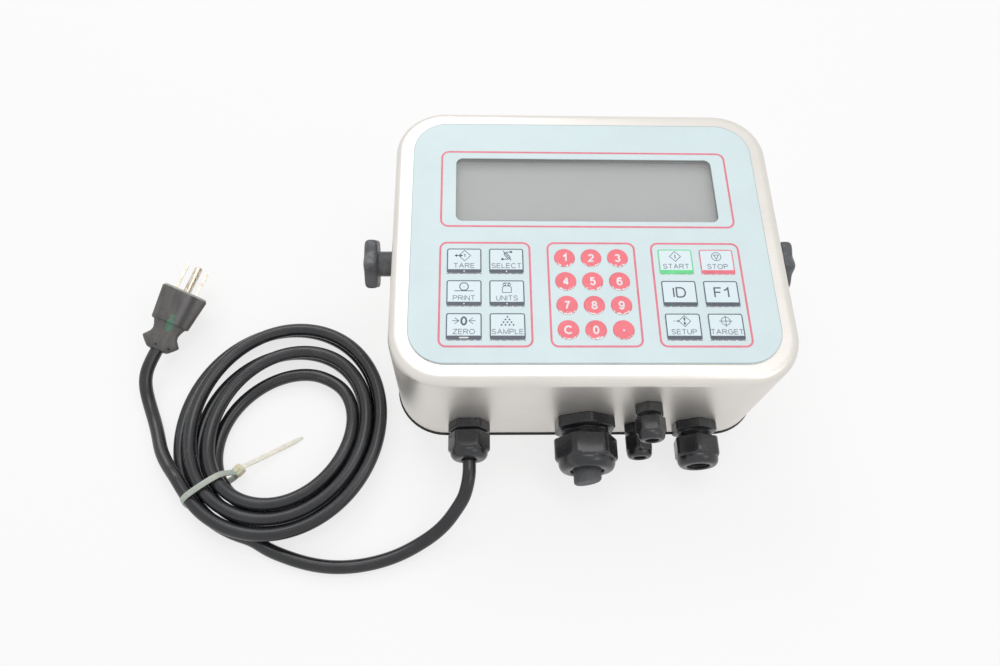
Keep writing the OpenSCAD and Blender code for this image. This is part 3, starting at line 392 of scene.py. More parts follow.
class Solid:
    """Closed surfaces in one mesh. Each is a grid of rings of points in millimetres."""

    def __init__(self):
        self.points = []
        self.faces = {3: [], 4: []}
        self.maps = {3: [], 4: []}
        self.paints = {3: [], 4: []}
        self.count = 0

    def take(self, points, faces, maps, paint):
        for corners, index in faces.items():
            self.faces[corners].append(index + self.count)
            self.maps[corners].append(maps[corners])
            self.paints[corners].append(np.full(len(index), paint))
        self.points.append(points)
        self.count += len(points)

    def add(self, grid, wrap=False, paint=0):
        """Joins ring i to ring i + 1 and point k to point k + 1 round each ring. The ends get a
        fan to the ring's middle, or the last ring joins the first. Faces are turned outwards by
        the sign of the volume, which is a sixth of the sum of a x b . c over the triangles."""
        grid = np.asarray(grid, float)
        rings, sides = grid.shape[:2]
        points = grid.reshape(-1, 3)
        joins = rings if wrap else rings - 1
        i, k = np.meshgrid(np.arange(joins), np.arange(sides), indexing="ij")
        j, n = (i + 1) % rings, (k + 1) % sides
        quads = np.stack([i * sides + k, i * sides + n, j * sides + n, j * sides + k], -1)
        quads = quads.reshape(-1, 4)
        closed = np.concatenate([grid, grid[:, :1]], 1)
        round_step = np.linalg.norm(np.diff(closed, axis=1), axis=2).mean(0)
        across = np.concatenate([[0], np.cumsum(round_step)]) * MM
        long_step = np.linalg.norm(np.diff(grid, axis=0), axis=2).mean(1)
        last = np.linalg.norm(grid[0] - grid[-1], axis=1).mean()
        along = np.concatenate([[0], np.cumsum(np.append(long_step, last))]) * MM
        u = np.stack([across[k], across[k + 1], across[k + 1], across[k]], -1)
        v = np.stack([along[i], along[i], along[i + 1], along[i + 1]], -1)
        quad_map = np.stack([u, v], -1).reshape(-1, 4, 2)
        fans = np.zeros((0, 3), int)
        if not wrap:
            points = np.concatenate([points, grid[:1].mean(1), grid[-1:].mean(1)])
            k = np.arange(sides)
            n = (k + 1) % sides
            first = np.stack([np.full(sides, rings * sides), n, k], -1)
            end = (rings - 1) * sides
            second = np.stack([np.full(sides, rings * sides + 1), end + k, end + n], -1)
            fans = np.concatenate([first, second])
        corners = points[np.concatenate([quads[:, [0, 1, 2]], quads[:, [0, 2, 3]], fans])]
        volume = (np.cross(corners[:, 0], corners[:, 1]) * corners[:, 2]).sum()
        fan_map = points[fans][:, :, :2] * MM
        if volume < 0:
            quads, fans = quads[:, ::-1], fans[:, ::-1]
            quad_map, fan_map = quad_map[:, ::-1], fan_map[:, ::-1]
        self.take(points, {4: quads, 3: fans}, {4: quad_map, 3: fan_map}, paint)
        return self

    def build(self, name, body, *finishes, slot=None, replaces=(), crease=CREASE):
        """Makes the piece in metres, with its map, its finishes and creases above the given angle,
        and says which body it rides on and the CAD nodes that it replaces. The slot argument is
        not used."""
        mesh = bpy.data.meshes.new(name)
        points = np.concatenate(self.points) * MM
        index = {c: np.concatenate(f) for c, f in self.faces.items() if f}
        maps = {c: np.concatenate(self.maps[c]) for c in index}
        paints = {c: np.concatenate(self.paints[c]) for c in index}
        totals = np.concatenate([np.full(len(index[c]), c) for c in index])
        mesh.vertices.add(len(points))
        mesh.vertices.foreach_set("co", points.ravel())
        mesh.loops.add(int(totals.sum()))
        mesh.polygons.add(len(totals))
        mesh.polygons.foreach_set("loop_start", np.concatenate([[0], np.cumsum(totals)[:-1]]))
        mesh.polygons.foreach_set("vertices", np.concatenate([index[c].ravel() for c in index]))
        mesh.polygons.foreach_set("material_index", np.concatenate([paints[c] for c in index]))
        layer = mesh.uv_layers.new(name="surface")
        layer.data.foreach_set("uv", np.concatenate([maps[c].reshape(-1) for c in index]))
        mesh.update(calc_edges=True)
        for finish in finishes:
            mesh.materials.append(finish.material)
        crease_mesh(mesh, crease)
        piece = bpy.data.objects.new(name, mesh)
        bpy.context.scene.collection.objects.link(piece)
        if body:
            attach(piece, body)
        if replaces:
            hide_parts(*replaces)
        return piece


def crease_mesh(mesh, angle):
    mesh.polygons.foreach_set("use_smooth", np.ones(len(mesh.polygons), bool))
    mesh.set_sharp_from_angle(angle=math.radians(angle))


def dress(finish, *nodes):
    """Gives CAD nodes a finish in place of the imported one."""
    for node in nodes:
        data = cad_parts[node].data
        data.materials.clear()
        data.materials.append(finish.material)


def rounded_rings(sections, steps=10):
    """Rings of rounded rectangles. A section is width, depth, radius, z, and the middle's x and y.
    Each corner is a quarter circle of the radius about a point that far in from both sides."""
    width, depth, radius, z, x, y = np.asarray(sections, float).T[:, :, None]
    turn = np.concatenate([np.linspace(q * 90, q * 90 + 90, steps + 1) for q in range(4)])
    angle = np.radians(turn)[None, :]
    side_x = np.repeat([1, -1, -1, 1], steps + 1)[None, :]
    side_y = np.repeat([1, 1, -1, -1], steps + 1)[None, :]
    px = x + side_x * (width / 2 - radius) + radius * np.cos(angle)
    py = y + side_y * (depth / 2 - radius) + radius * np.sin(angle)
    return np.stack([px, py, z + 0 * px], -1)


def arc(across, up, radius, start, end, count):
    """Points of an arc in a profile: the centre plus the radius at evenly spaced angles."""
    angle = np.radians(np.linspace(start, end, count))
    return list(zip(across + radius * np.cos(angle), up + radius * np.sin(angle)))


def round_angles(count):
    """Evenly spaced angles of one full turn."""
    return np.linspace(0, 2 * np.pi, count, endpoint=False)


def ring_grid(radius, height):
    """Rings round the z axis from a table of radii, with a row for each ring, and the heights of
    the rings or a table of heights."""
    height = np.asarray(height, float)
    if height.ndim == 1:
        height = height[:, None]
    angle = round_angles(radius.shape[1])
    return np.stack([radius * np.cos(angle), radius * np.sin(angle), height + 0 * radius], -1)


def turned(profile, sides):
    """Rings round the z axis from the radius and height of each profile point."""
    radius, height = np.array(profile, float).T
    return ring_grid(radius[:, None] * np.ones(sides), height)


def set_at(grid, origin, axes):
    """Moves a grid to an origin, with its x, y and z axes along the three given directions."""
    return np.asarray(grid) @ np.array(axes, float) + np.array(origin, float)


def prism(outline, low, high):
    """A flat shape with a thickness: its outline at two heights."""
    outline = np.asarray(outline, float)
    return np.stack([np.column_stack([outline, np.full(len(outline), z)]) for z in (low, high)])


def stroke(points, width, low, high, closed=False):
    """A line of ink: a rectangle carried along a path in the plane, square to the mean direction
    of the two stretches that meet at each point and widened there, so that its edges stay
    parallel."""
    points = np.asarray(points, float)
    if closed:
        before, after = np.roll(points, 1, 0), np.roll(points, -1, 0)
    else:
        before = np.concatenate([[2 * points[0] - points[1]], points[:-1]])
        after = np.concatenate([points[1:], [2 * points[-1] - points[-2]]])
    a = (points - before) / np.linalg.norm(points - before, axis=1)[:, None]
    b = (after - points) / np.linalg.norm(after - points, axis=1)[:, None]
    mean = a + b
    mean /= np.linalg.norm(mean, axis=1)[:, None]
    side = np.column_stack([-mean[:, 1], mean[:, 0]])
    side *= (width / 2 / np.maximum(0.35, (mean * a).sum(1)))[:, None]
    left, right = points + side, points - side
    corner = [(left, low), (right, low), (right, high), (left, high)]
    return np.stack([np.column_stack([p, z + np.zeros(len(p))]) for p, z in corner], 1)


def rounded_path(width, depth, radius, x=0, y=0, steps=8):
    return rounded_rings([(width, depth, radius, 0, x, y)], steps)[0][:, :2]


def circle_path(x, y, radius, count=24):
    angle = round_angles(count)
    return np.column_stack([x + radius * np.cos(angle), y + radius * np.sin(angle)])


# An arc of this many degrees that stands alone closes on itself
FULL_ARC = 350
ROUND = (0.5, 0.5, 0.5, 0.5, 0, FULL_ARC)
# Each sign has its width against its height and its strokes in a unit square. A stroke holds
# points of two numbers, and arcs of six: centre, half width, half height, first and last angle.
SIGNS = {
    "A": (0.93, [[(0, 0), (0.5, 1), (1, 0)], [(0.2, 0.36), (0.8, 0.36)]]),
    "C": (0.92, [[(0.53, 0.5, 0.53, 0.5, 42, 318)]]),
    "D": (0.86, [[(0, 0), (0, 1), (0.5, 0.5, 0.5, 0.5, 90, -90), (0, 0)]]),
    "E": (0.75, [[(1, 1), (0, 1), (0, 0), (1, 0)], [(0, 0.53), (0.92, 0.53)]]),
    "F": (0.70, [[(0, 0), (0, 1), (1, 1)], [(0, 0.52), (0.86, 0.52)]]),
    "G": (0.95, [[(0.52, 0.5, 0.52, 0.5, 45, 322), (1, 0.22), (1, 0.48), (0.56, 0.48)]]),
    "I": (0.14, [[(0.5, 0), (0.5, 1)]]),
    "L": (0.66, [[(0, 1), (0, 0), (1, 0)]]),
    "M": (0.93, [[(0, 0), (0, 1), (0.5, 0.05), (1, 1), (1, 0)]]),
    "N": (0.78, [[(0, 0), (0, 1), (1, 0), (1, 1)]]),
    "O": (0.99, [[ROUND]]),
    "P": (0.78, [[(0, 0), (0, 1), (0.62, 0.74, 0.38, 0.26, 90, -90), (0, 0.48)]]),
    "R": (0.87, [
        [(0, 0), (0, 1), (0.6, 0.76, 0.36, 0.24, 90, -90), (0, 0.52)],
        [(0.5, 0.52), (1, 0)],
    ]),
    "S": (0.80, [[(0.5, 0.75, 0.46, 0.25, 18, 270), (0.5, 0.25, 0.5, 0.25, 80, -165)]]),
    "T": (0.80, [[(0, 1), (1, 1)], [(0.5, 1), (0.5, 0)]]),
    "U": (0.79, [[(0, 1), (0.5, 0.34, 0.5, 0.34, 180, 360), (1, 1)]]),
    "Z": (0.80, [[(0, 1), (1, 1), (0, 0), (1, 0)]]),
    "0": (0.68, [[ROUND]]),
    "1": (0.48, [[(0, 0.72), (0.55, 0.82), (1, 1), (1, 0)]]),
    "2": (0.66, [[(0.5, 0.72, 0.47, 0.28, 170, -25), (0, 0), (1, 0)]]),
    "3": (0.65, [[(0.47, 0.77, 0.42, 0.23, 165, -80)], [(0.48, 0.27, 0.5, 0.27, 80, -165)]]),
    "4": (0.70, [[(0.74, 0), (0.74, 1)], [(0.74, 1), (0, 0.27)], [(0, 0.27), (1, 0.27)]]),
    "5": (0.66, [[(0.92, 1), (0.2, 1), (0.1, 0.52)], [(0.48, 0.33, 0.5, 0.33, 140, -165)]]),
    "6": (0.67, [
        [(0.54, 0.62, 0.5, 0.38, 35, 165), (0, 0.32)],
        [(0.5, 0.31, 0.5, 0.31, 0, FULL_ARC)],
    ]),
    "7": (0.64, [[(0, 1), (1, 1), (0.52, 0.45), (0.34, 0)]]),
    "8": (0.66, [
        [(0.5, 0.77, 0.42, 0.23, 0, FULL_ARC)],
        [(0.5, 0.27, 0.5, 0.27, 0, FULL_ARC)],
    ]),
    "9": (0.67, [
        [(0.46, 0.38, 0.5, 0.38, 215, 345), (1, 0.68)],
        [(0.5, 0.69, 0.5, 0.31, 0, FULL_ARC)],
    ]),
}


def sign_strokes(strokes):
    """Turns a sign's strokes into arrays of points, and tells which of them are closed."""
    lines = []
    for line in strokes:
        points = []
        for item in line:
            if len(item) == 2:
                points.append(item)
                continue
            x, y, across, up, start, end = item
            angle = np.radians(np.linspace(start, end, 2 + abs(end - start) // 14))
            points += list(zip(x + across * np.cos(angle), y + up * np.sin(angle)))
        lines.append((np.array(points), len(line) == 1 and line[0][-1] == FULL_ARC))
    return lines


def letters(solid, text, x, y, size, weight, low, high, paint=0):
    """Writes a word centred on x and y in strokes of the given weight, its capitals size high.
    A stroke's top slopes a little, and each next one stands higher, so that none lie level."""
    gap = 0.12 * size
    widths = [SIGNS[c][0] * size for c in text]
    left = x - (sum(widths) + gap * (len(text) - 1)) / 2
    for sign, width in zip(text, widths):
        inner = np.array([max(0.0, width - weight), size - weight])
        shift = [left + (width - inner[0]) / 2, y - inner[1] / 2]
        for place, (points, closed) in enumerate(sign_strokes(SIGNS[sign][1])):
            top = high + 0.01 * place + np.linspace(0, 0.008, len(points))
            path = points * inner + shift
            solid.add(stroke(path, weight, low, top, closed), wrap=closed, paint=paint)
        left += width + gap


def cut(piece, cutter):
    """Takes the cutter's volume out of a piece and removes the cutter."""
    hole = piece.modifiers.new("cut", "BOOLEAN")
    hole.operation = "DIFFERENCE"
    hole.solver = "EXACT"
    hole.object = cutter
    graph = bpy.context.evaluated_depsgraph_get()
    mesh = bpy.data.meshes.new_from_object(piece.evaluated_get(graph), depsgraph=graph)
    piece.modifiers.clear()
    old = piece.data
    name = old.name
    piece.data = mesh
    bpy.data.meshes.remove(old)
    mesh.name = name
    bpy.data.objects.remove(cutter)
    crease_mesh(mesh, CREASE)
    return piece


# Stage

CAMERA_AT = (-0.0652, -0.2304, 0.4605)
CAMERA_TURN = (24.745, -1.871, -0.801)
SENSOR_WIDTH = 36
WHITE = (1, 1, 1)
# Each lamp's place and aim, its width and depth, and its power
LAMPS = {
    "back_lamp": ((-0.6, 1.3, 1.4), (0, 0, 0), (1.3, 0.7), 8.6),
    "top_lamp": ((0.05, 0.24, 1.3), (0, -0.1, 0), (0.8, 0.4), 2.9),
    "side_lamp": ((0.9, -0.5, 1.3), (0, 0, 0), (0.7, 0.7), 2.4),
}
FLOOR_REACH = 2500
FLOOR_DEPTH = 4


class Room(Nodes):
    """World light: plain white to the camera, in gloss and through glass, and an even light of the
    given strength to all else."""

    def __init__(self, strength):
        self.world = bpy.data.worlds.new("room")
        self.world.use_nodes = True
        super().__init__(self.world.node_tree)
        light = self.node("ShaderNodeBackground", None, {"Color": WHITE, "Strength": strength})
        white = self.node("ShaderNodeBackground", None, {"Color": WHITE})
        mixed = self.node("ShaderNodeMixShader", None, {0: self.seen(), 1: light, 2: white})
        self.feed(self.tree.nodes.new("ShaderNodeOutputWorld").inputs[0], mixed)


def lamp(name, place, aim, size, power):
    data = bpy.data.lights.new(name, "AREA")
    data.shape = "RECTANGLE"
    data.size, data.size_y = size
    data.energy = power
    light = bpy.data.objects.new(name, data)
    light.location = place
    light.rotation_euler = (Vector(aim) - Vector(place)).to_track_quat("-Z", "Y").to_euler()
    bpy.context.scene.collection.objects.link(light)


class INDICATOR_OT_stage(bpy.types.Operator):
    """Camera, floor, room light and lamps"""

    bl_idname = "indicator.stage"
    bl_label = "Stage"

    def execute(self, context):
        stage = context.scene.indicator_stage
        data = bpy.data.cameras.new("camera")
        data.lens = stage.lens
        data.sensor_width = SENSOR_WIDTH
        data.clip_start = 0.01
        camera = bpy.data.objects.new("camera", data)
        camera.location = CAMERA_AT
        camera.rotation_euler = Euler([math.radians(v) for v in CAMERA_TURN])
        context.scene.collection.objects.link(camera)
        context.scene.camera = camera
        context.scene.view_settings.view_transform = "Standard"
        context.scene.world = Room(stage.room).world
        for name, (place, aim, size, power) in LAMPS.items():
            lamp(name, place, aim, size, power * stage.lamps)
        paper = Finish("floor_paper", base_color=tuple(stage.floor), roughness=0.7)
        paper.set(specular_ior_level=0.1)
        paper.glow(stage.glow)
        square = FLOOR_REACH * np.array([(-1, -1), (1, -1), (1, 1), (-1, 1)])
        floor = Solid().add(prism(square, -FLOOR_DEPTH, 0))
        floor.build("floor", None, paper)
        return {"FINISHED"}


# Mains lead

# The coil has an outer and an inner oval, each with its long and short radius and its tilt. The
# inner one is shifted. The second half of the turns lies one layer up, which takes half a turn.
COIL_TURNS = 5.1
COIL_STEPS = 123
LEAD_STEP = 1.6
COIL_AT = (-179.6, -81.0)
COIL_START = 255
OUTER_OVAL = (69.2, 62.5, 80)
INNER_OVAL = (41.9, 34, 49)
INNER_SHIFT = (4, -8.7)
LAYER = 8.4
CLIMB = 0.5
# Where the tie crosses the outer and the inner turns, and how far the lead lifts over it, within
# how many degrees on either side
TIE_ANGLE = 27
TIE_TURN = TIE_ANGLE / 360
INNER_TIE_TURN = 2 + 31 / 360
TIE_LIFT = 1.6
TIE_SPREAD = 50
LEAD_START = (-67.015, -108.4, 24.7)
LEAD_POINTS = [
    (-67, -118, 24.6), (-68, -124, 23), (-70, -130, 20.2), (-74, -136, 16.6), (-79, -142, 12.8),
    (-86, -148, 9), (-95, -153.5, 6), (-106, -158.9, 4.4), (-119, -163.1, 3.9),
    (-132, -165.3, 3.9), (-146, -165.4, 3.9), (-160, -163, 3.9), (-172, -159.2, 3.9),
    (-182, -154.9, 4),
]
TAIL_POINTS = [
    (-240.5, -110.5, 11.7), (-245, -104.4, 10.4), (-248.7, -98, 8.9), (-251.7, -91.1, 7.2),
    (-254.6, -84.4, 5.7), (-257.7, -77.6, 4.8), (-260.6, -71, 5), (-263.2, -64, 6.4),
    (-264.7, -57, 8.7), (-264.4, -50.2, 11),
]
PLUG_AT = np.array([-260, -36.2, 13.1])


def turn_about(axis, degrees):
    """Rotation matrix about x, y or z."""
    c, s = math.cos(math.radians(degrees)), math.sin(math.radians(degrees))
    i, j = [(1, 2), (2, 0), (0, 1)][axis]
    matrix = np.eye(3)
    matrix[i, i] = matrix[j, j] = c
    matrix[i, j], matrix[j, i] = -s, s
    return matrix


PLUG_TURN = turn_about(2, 70.5) @ turn_about(1, -5.6) @ turn_about(0, 26)


def oval(long, short, tilt, angle):
    """Radius of an ellipse in a direction: 1 over the length of (cos / long, sin / short)."""
    angle = angle - np.radians(tilt)
    return 1 / np.hypot(np.cos(angle) / long, np.sin(angle) / short)


def coil_points(turn):
    """Centre of the lead at a turn of the coil. The radius goes from the outer oval to the inner
    one and back, the centre shifts with it, the second half lies one layer up, and the lead
    lifts over the tie."""
    depth = 1 - np.abs(turn - COIL_TURNS / 2) / (COIL_TURNS / 2)
    angle = np.radians(COIL_START - 360 * turn)
    outer = oval(*OUTER_OVAL, angle)
    radius = outer + (oval(*INNER_OVAL, angle) - outer) * depth
    climbed = np.clip((turn - COIL_TURNS / 2 + CLIMB / 2) / CLIMB, 0, 1)
    climb = (1 - np.cos(np.pi * climbed)) / 2
    off = np.abs((turn * 360 - TIE_ANGLE + 180) % 360 - 180)
    lift = TIE_LIFT * (1 + np.cos(np.pi * off / TIE_SPREAD)) / 2
    over_tie = np.where(off < TIE_SPREAD, lift, 0)
    x = COIL_AT[0] + INNER_SHIFT[0] * depth + radius * np.cos(angle)
    y = COIL_AT[1] + INNER_SHIFT[1] * depth + radius * np.sin(angle)
    return np.stack([x, y, LEAD_DIAMETER / 2 + over_tie + LAYER * climb], -1)


def smooth_line(points, step):
    """Natural cubic spline through points, by the tridiagonal system for its second derivatives
    over the chord length, then read off at even steps of its own length."""
    points = np.asarray(points, float)
    gap = np.linalg.norm(np.diff(points, axis=0), axis=1)
    at = np.concatenate([[0], np.cumsum(gap)])
    n = len(points)
    matrix = np.eye(n)
    right = np.zeros((n, 3))
    i = np.arange(1, n - 1)
    matrix[i, i - 1] = gap[:-1] / 6
    matrix[i, i] = (gap[:-1] + gap[1:]) / 3
    matrix[i, i + 1] = gap[1:] / 6
    slope = np.diff(points, axis=0) / gap[:, None]
    right[1:-1] = np.diff(slope, axis=0)
    second = np.linalg.solve(matrix, right)

    def read(where):
        k = np.clip(np.searchsorted(at, where, side="right") - 1, 0, n - 2)
        h = gap[k][:, None]
        b = (where - at[k])[:, None] / h
        a = 1 - b
        curve = a * points[k] + b * points[k + 1]
        return curve + ((a**3 - a) * second[k] + (b**3 - b) * second[k + 1]) * h * h / 6

    fine = np.linspace(0, at[-1], int(at[-1] / step) * 6)
    walk = np.linalg.norm(np.diff(read(fine), axis=0), axis=1)
    covered = np.concatenate([[0], np.cumsum(walk)])
    count = int(covered[-1] / step)
    return read(np.interp(np.linspace(0, covered[-1], count), covered, fine))


def tube(line, radius, sides):
    """A circle carried along a line, its first axis level and square to the line."""
    along = np.gradient(line, axis=0)
    along /= np.linalg.norm(along, axis=1)[:, None]
    side = np.cross(along, [0, 0, 1])
    side /= np.linalg.norm(side, axis=1)[:, None]
    up = np.cross(side, along)
    angle = round_angles(sides)[None, :, None]
    return line[:, None] + radius * (side[:, None] * np.cos(angle) + up[:, None] * np.sin(angle))


def lead_line():
    """The whole route: from the gland to the coil, round it, and on to the plug. It goes on level
    by one diameter at each end of the coil, and straight for as much behind the plug."""
    coil = coil_points(np.linspace(0, COIL_TURNS, COIL_STEPS))
    near = 1 / 96
    near_start, near_end = coil_points(np.array([near, COIL_TURNS - near]))
    ends = np.array([coil[0] - near_start, coil[-1] - near_end]) * (1, 1, 0)
    ends *= LEAD_DIAMETER / np.linalg.norm(ends, axis=1)[:, None]
    plug_end = [PLUG_AT - LEAD_DIAMETER * PLUG_TURN[:, 0], PLUG_AT]
    parts = [
        [LEAD_START], LEAD_POINTS, [coil[0] + ends[0]], coil, [coil[-1] + ends[1]], TAIL_POINTS,
        plug_end,
    ]
    return smooth_line(np.concatenate([np.asarray(p, float) for p in parts]), LEAD_STEP)


def pin_finish():
    """Nickel plate with fine streaks along the blades."""
    f = Finish("pin_plate", metallic=1.0)
    streak = f.noise(1, 3, 0.6, f.placed((900, 300, 900)))
    tone = f.mix(streak.step(0.3, 0.7), tint(178, 165, 148), tint(226, 219, 206))
    return f.set(base_color=tone, roughness=0.22 + streak * 0.14)


class INDICATOR_OT_lead(bpy.types.Operator):
    """Mains lead with its coil, cable tie and plug"""

    bl_idname = "indicator.lead"
    bl_label = "Mains lead"

    def execute(self, context):
        lead = context.scene.indicator_lead
        jacket = jacket_finish("lead_jacket", tuple(lead.jacket))
        line = lead_line()
        cord = Solid().add(tube(line, lead.diameter / MM / 2, lead.sides)).build(
            "mains_lead", HOME, jacket, slot="lead_jacket",
            replaces=("cord_lead", "cord_coil", "cord_tail"),
        )
        tie = build_tie()
        plug = build_plug()
        dress(pin_finish(), "plug_pins")
        (line * MM).tolist()
        return {"FINISHED"}


TIE_SHADES = {"strap": (188, 194, 184), "head": (228, 221, 190), "tail": (245, 241, 228)}
# Places of the strap's middle across the turns and above the table, over them and back under them
TIE_ROUTE = [
    (-18.6, 7.6), (-15.2, 13), (-12.3, 17.3), (-7.5, 19.2), (0, 19.7), (6, 19.2), (10.8, 17.6),
    (13.4, 14), (13.9, 8.6), (13.4, 3.6), (11.2, 1.25), (6, 0.8), (0, 0.75), (-7, 0.75),
    (-13, 0.8), (-16.6, 1.3), (-19.2, 3.2),
]
TIE_ASIDE = 3.6
TIE_WIDTH, TIE_THICKNESS = 3.4, 1.1
# The head's place and turn, and its block and lip as rounded rectangles one above the other
HEAD_AT = (-20.4, -0.6, 3.1)
HEAD_TURN = 12
HEAD_BLOCK = [
    (5.0, 4.8, 1.0, 0, 0, 0), (6.0, 5.8, 1.3, 0.5, 0, 0), (6.0, 5.8, 1.3, 4.2, 0, 0),
    (5.6, 5.4, 1.2, 4.8, 0, 0), (4.6, 4.4, 0.9, 5.1, 0, 0),
]
HEAD_LIP = [(3.6, 2.2, 0.5, 5.0, 0.4, 0), (3.2, 1.8, 0.4, 5.7, 0.4, 0)]
# The loose end: where it starts across and along the turns and how high its tip lies, how far it
# runs across, along and down to its tip, its width and thickness, and the share of its length at
# which it starts to narrow
END_AT = (-22, -1.2, 0.8)
END_RUN = (-39, 3.4, 4.8)
END_WIDTH, END_THICKNESS = 2.9, 1.0
END_TAPER = 0.86


def tie_finish(part, shade):
    """Natural nylon with a faint cloud."""
    f = Finish("tie_" + part, subsurface_weight=0.2, subsurface_scale=0.003)
    cloud = f.noise(220, 3, 0.6)
    darker = tint(*(v * 0.95 for v in shade))
    f.set(
        base_color=f.mix(cloud.step(0.35, 0.7), tint(*shade), darker),
        roughness=0.34 + cloud * 0.16,
    )
    return f.bump(f.noise(900, 2, 0.5), 0.00002, 0.3)


def build_tie():
    """Cable tie: the strap over and under the coil's turns, its head beside them, and the loose
    end. Its own x axis runs outwards across the turns, and its y axis along them."""
    outer, inner = coil_points(np.array([TIE_TURN, INNER_TIE_TURN]))
    across = (outer - inner)[:2] / np.linalg.norm((outer - inner)[:2])
    along = np.array([-across[1], across[0]])
    axes = [(*across, 0), (*along, 0), (0, 0, 1)]
    origin = (*((outer + inner)[:2] / 2 - TIE_ASIDE * along), 0)
    line = smooth_line([(x, 0, z) for x, z in TIE_ROUTE], 0.9)
    solid = Solid().add(set_at(strap(line, TIE_WIDTH, TIE_THICKNESS), origin, axes))
    turn = turn_about(2, HEAD_TURN)
    for sections, steps in ((HEAD_BLOCK, 5), (HEAD_LIP, 4)):
        ring = rounded_rings(sections, steps) @ turn.T + np.array(HEAD_AT)
        solid.add(set_at(ring, origin, axes), paint=1)
    t = np.linspace(0, 1, 70)
    x, y, z = END_AT
    out, ahead, drop = END_RUN
    tail = np.column_stack([x + out * t, y + ahead * t, z + drop * (1 - t) ** 1.5])
    narrow = 1 - 0.5 * (t - END_TAPER) / (1 - END_TAPER)
    width = END_WIDTH * np.where(t > END_TAPER, narrow, 1)
    solid.add(set_at(strap(tail, width, END_THICKNESS, teeth=0.16), origin, axes), paint=2)
    finishes = [tie_finish(part, shade) for part, shade in TIE_SHADES.items()]
    return solid.build("tie_strap", HOME, *finishes, slot="tie_nylon", replaces=("cable_tie",))


def strap(line, wide, thick, teeth=0.0):
    """A flat band carried along a line: its width along y, its thickness square to the line in the
    x and z plane. Every second step is thinner by the tooth share."""
    along = np.gradient(np.asarray(line, float), axis=0)
    along /= np.linalg.norm(along, axis=1)[:, None]
    side = np.array([0.0, 1.0, 0.0])
    out = np.cross(along, side)
    half = np.broadcast_to(wide, len(line))[:, None] / 2
    depth = thick / 2 * (1 - teeth * (np.arange(len(line)) % 2))[:, None]
    corners = [
        (-1, 0.75), (-1, -0.75), (-0.85, -1), (0.85, -1),
        (1, -0.75), (1, 0.75), (0.85, 1), (-0.85, 1),
    ]
    return np.stack([line + side * half * a + out * depth * b for a, b in corners], 1)


def hull_ring(circles):
    """Outline of the convex hull of circles: in each direction from the middle, the least over all
    normals of the support h = max(centre . normal + radius) over the cosine to that normal."""
    circles = np.asarray(circles, float)
    angle, normal = round_angles(96), round_angles(720)
    ray = np.stack([np.cos(normal), np.sin(normal)])
    support = (circles[:, :2] @ ray + circles[:, 2:]).max(0)
    cosine = np.cos(angle[:, None] - normal[None, :])
    reach = np.where(cosine > 0.02, support[None, :] / np.maximum(cosine, 0.02), np.inf).min(1)
    return np.stack([reach * np.cos(angle), reach * np.sin(angle)], -1)


# Widest part of the plug, and the radius of its upper corners as a share of that
PLUG_SIZE = 28.0
PLUG_CORNER = 0.1
# Sections of the plug: the distance along it, and as shares of its size the width, the height of
# the top, the radius of the belly and how far the belly's centre lies below the middle
PLUG_SECTIONS = [
    (0, 0.44, 0.15, 0.14, 0.02), (0.5, 0.5, 0.17, 0.16, 0.02), (3, 0.68, 0.185, 0.165, 0.03),
    (5.0, 0.8, 0.2, 0.17, 0.04), (5.8, 0.8, 0.2, 0.17, 0.04), (7.2, 0.72, 0.205, 0.17, 0.04),
    (9.4, 0.6, 0.215, 0.175, 0.045), (11.6, 0.56, 0.22, 0.18, 0.05), (14, 0.6, 0.235, 0.19, 0.06),
    (16.3, 0.67, 0.26, 0.2, 0.08), (17.0, 0.7, 0.265, 0.205, 0.085),
    (17.2, 0.79, 0.3, 0.235, 0.125), (17.8, 0.825, 0.312, 0.242, 0.131),
    (20, 0.842, 0.318, 0.241, 0.138), (24, 0.878, 0.334, 0.24, 0.152),
    (28, 0.911, 0.35, 0.24, 0.165), (32, 0.945, 0.366, 0.24, 0.178),
    (35, 0.97, 0.377, 0.24, 0.188), (37.2, 0.99, 0.386, 0.24, 0.196),
    (37.7, 0.985, 0.384, 0.238, 0.196),
]
FACE_SECTIONS = [
    (37.6, 0.95, 0.37, 0.232, 0.196), (38.6, 0.95, 0.37, 0.232, 0.196),
    (39.0, 0.93, 0.362, 0.226, 0.196),
]


def plug_section(at, width, top, belly, drop):
    """Ring across the plug at a distance along it: two upper corners and a round belly."""
    corner = PLUG_SIZE * PLUG_CORNER
    half = PLUG_SIZE * width / 2 - corner
    up = PLUG_SIZE * top - corner
    round_belly = (0, -PLUG_SIZE * drop, PLUG_SIZE * belly)
    ring = hull_ring([(half, up, corner), (-half, up, corner), round_belly])
    return np.column_stack([np.full(len(ring), at), ring])


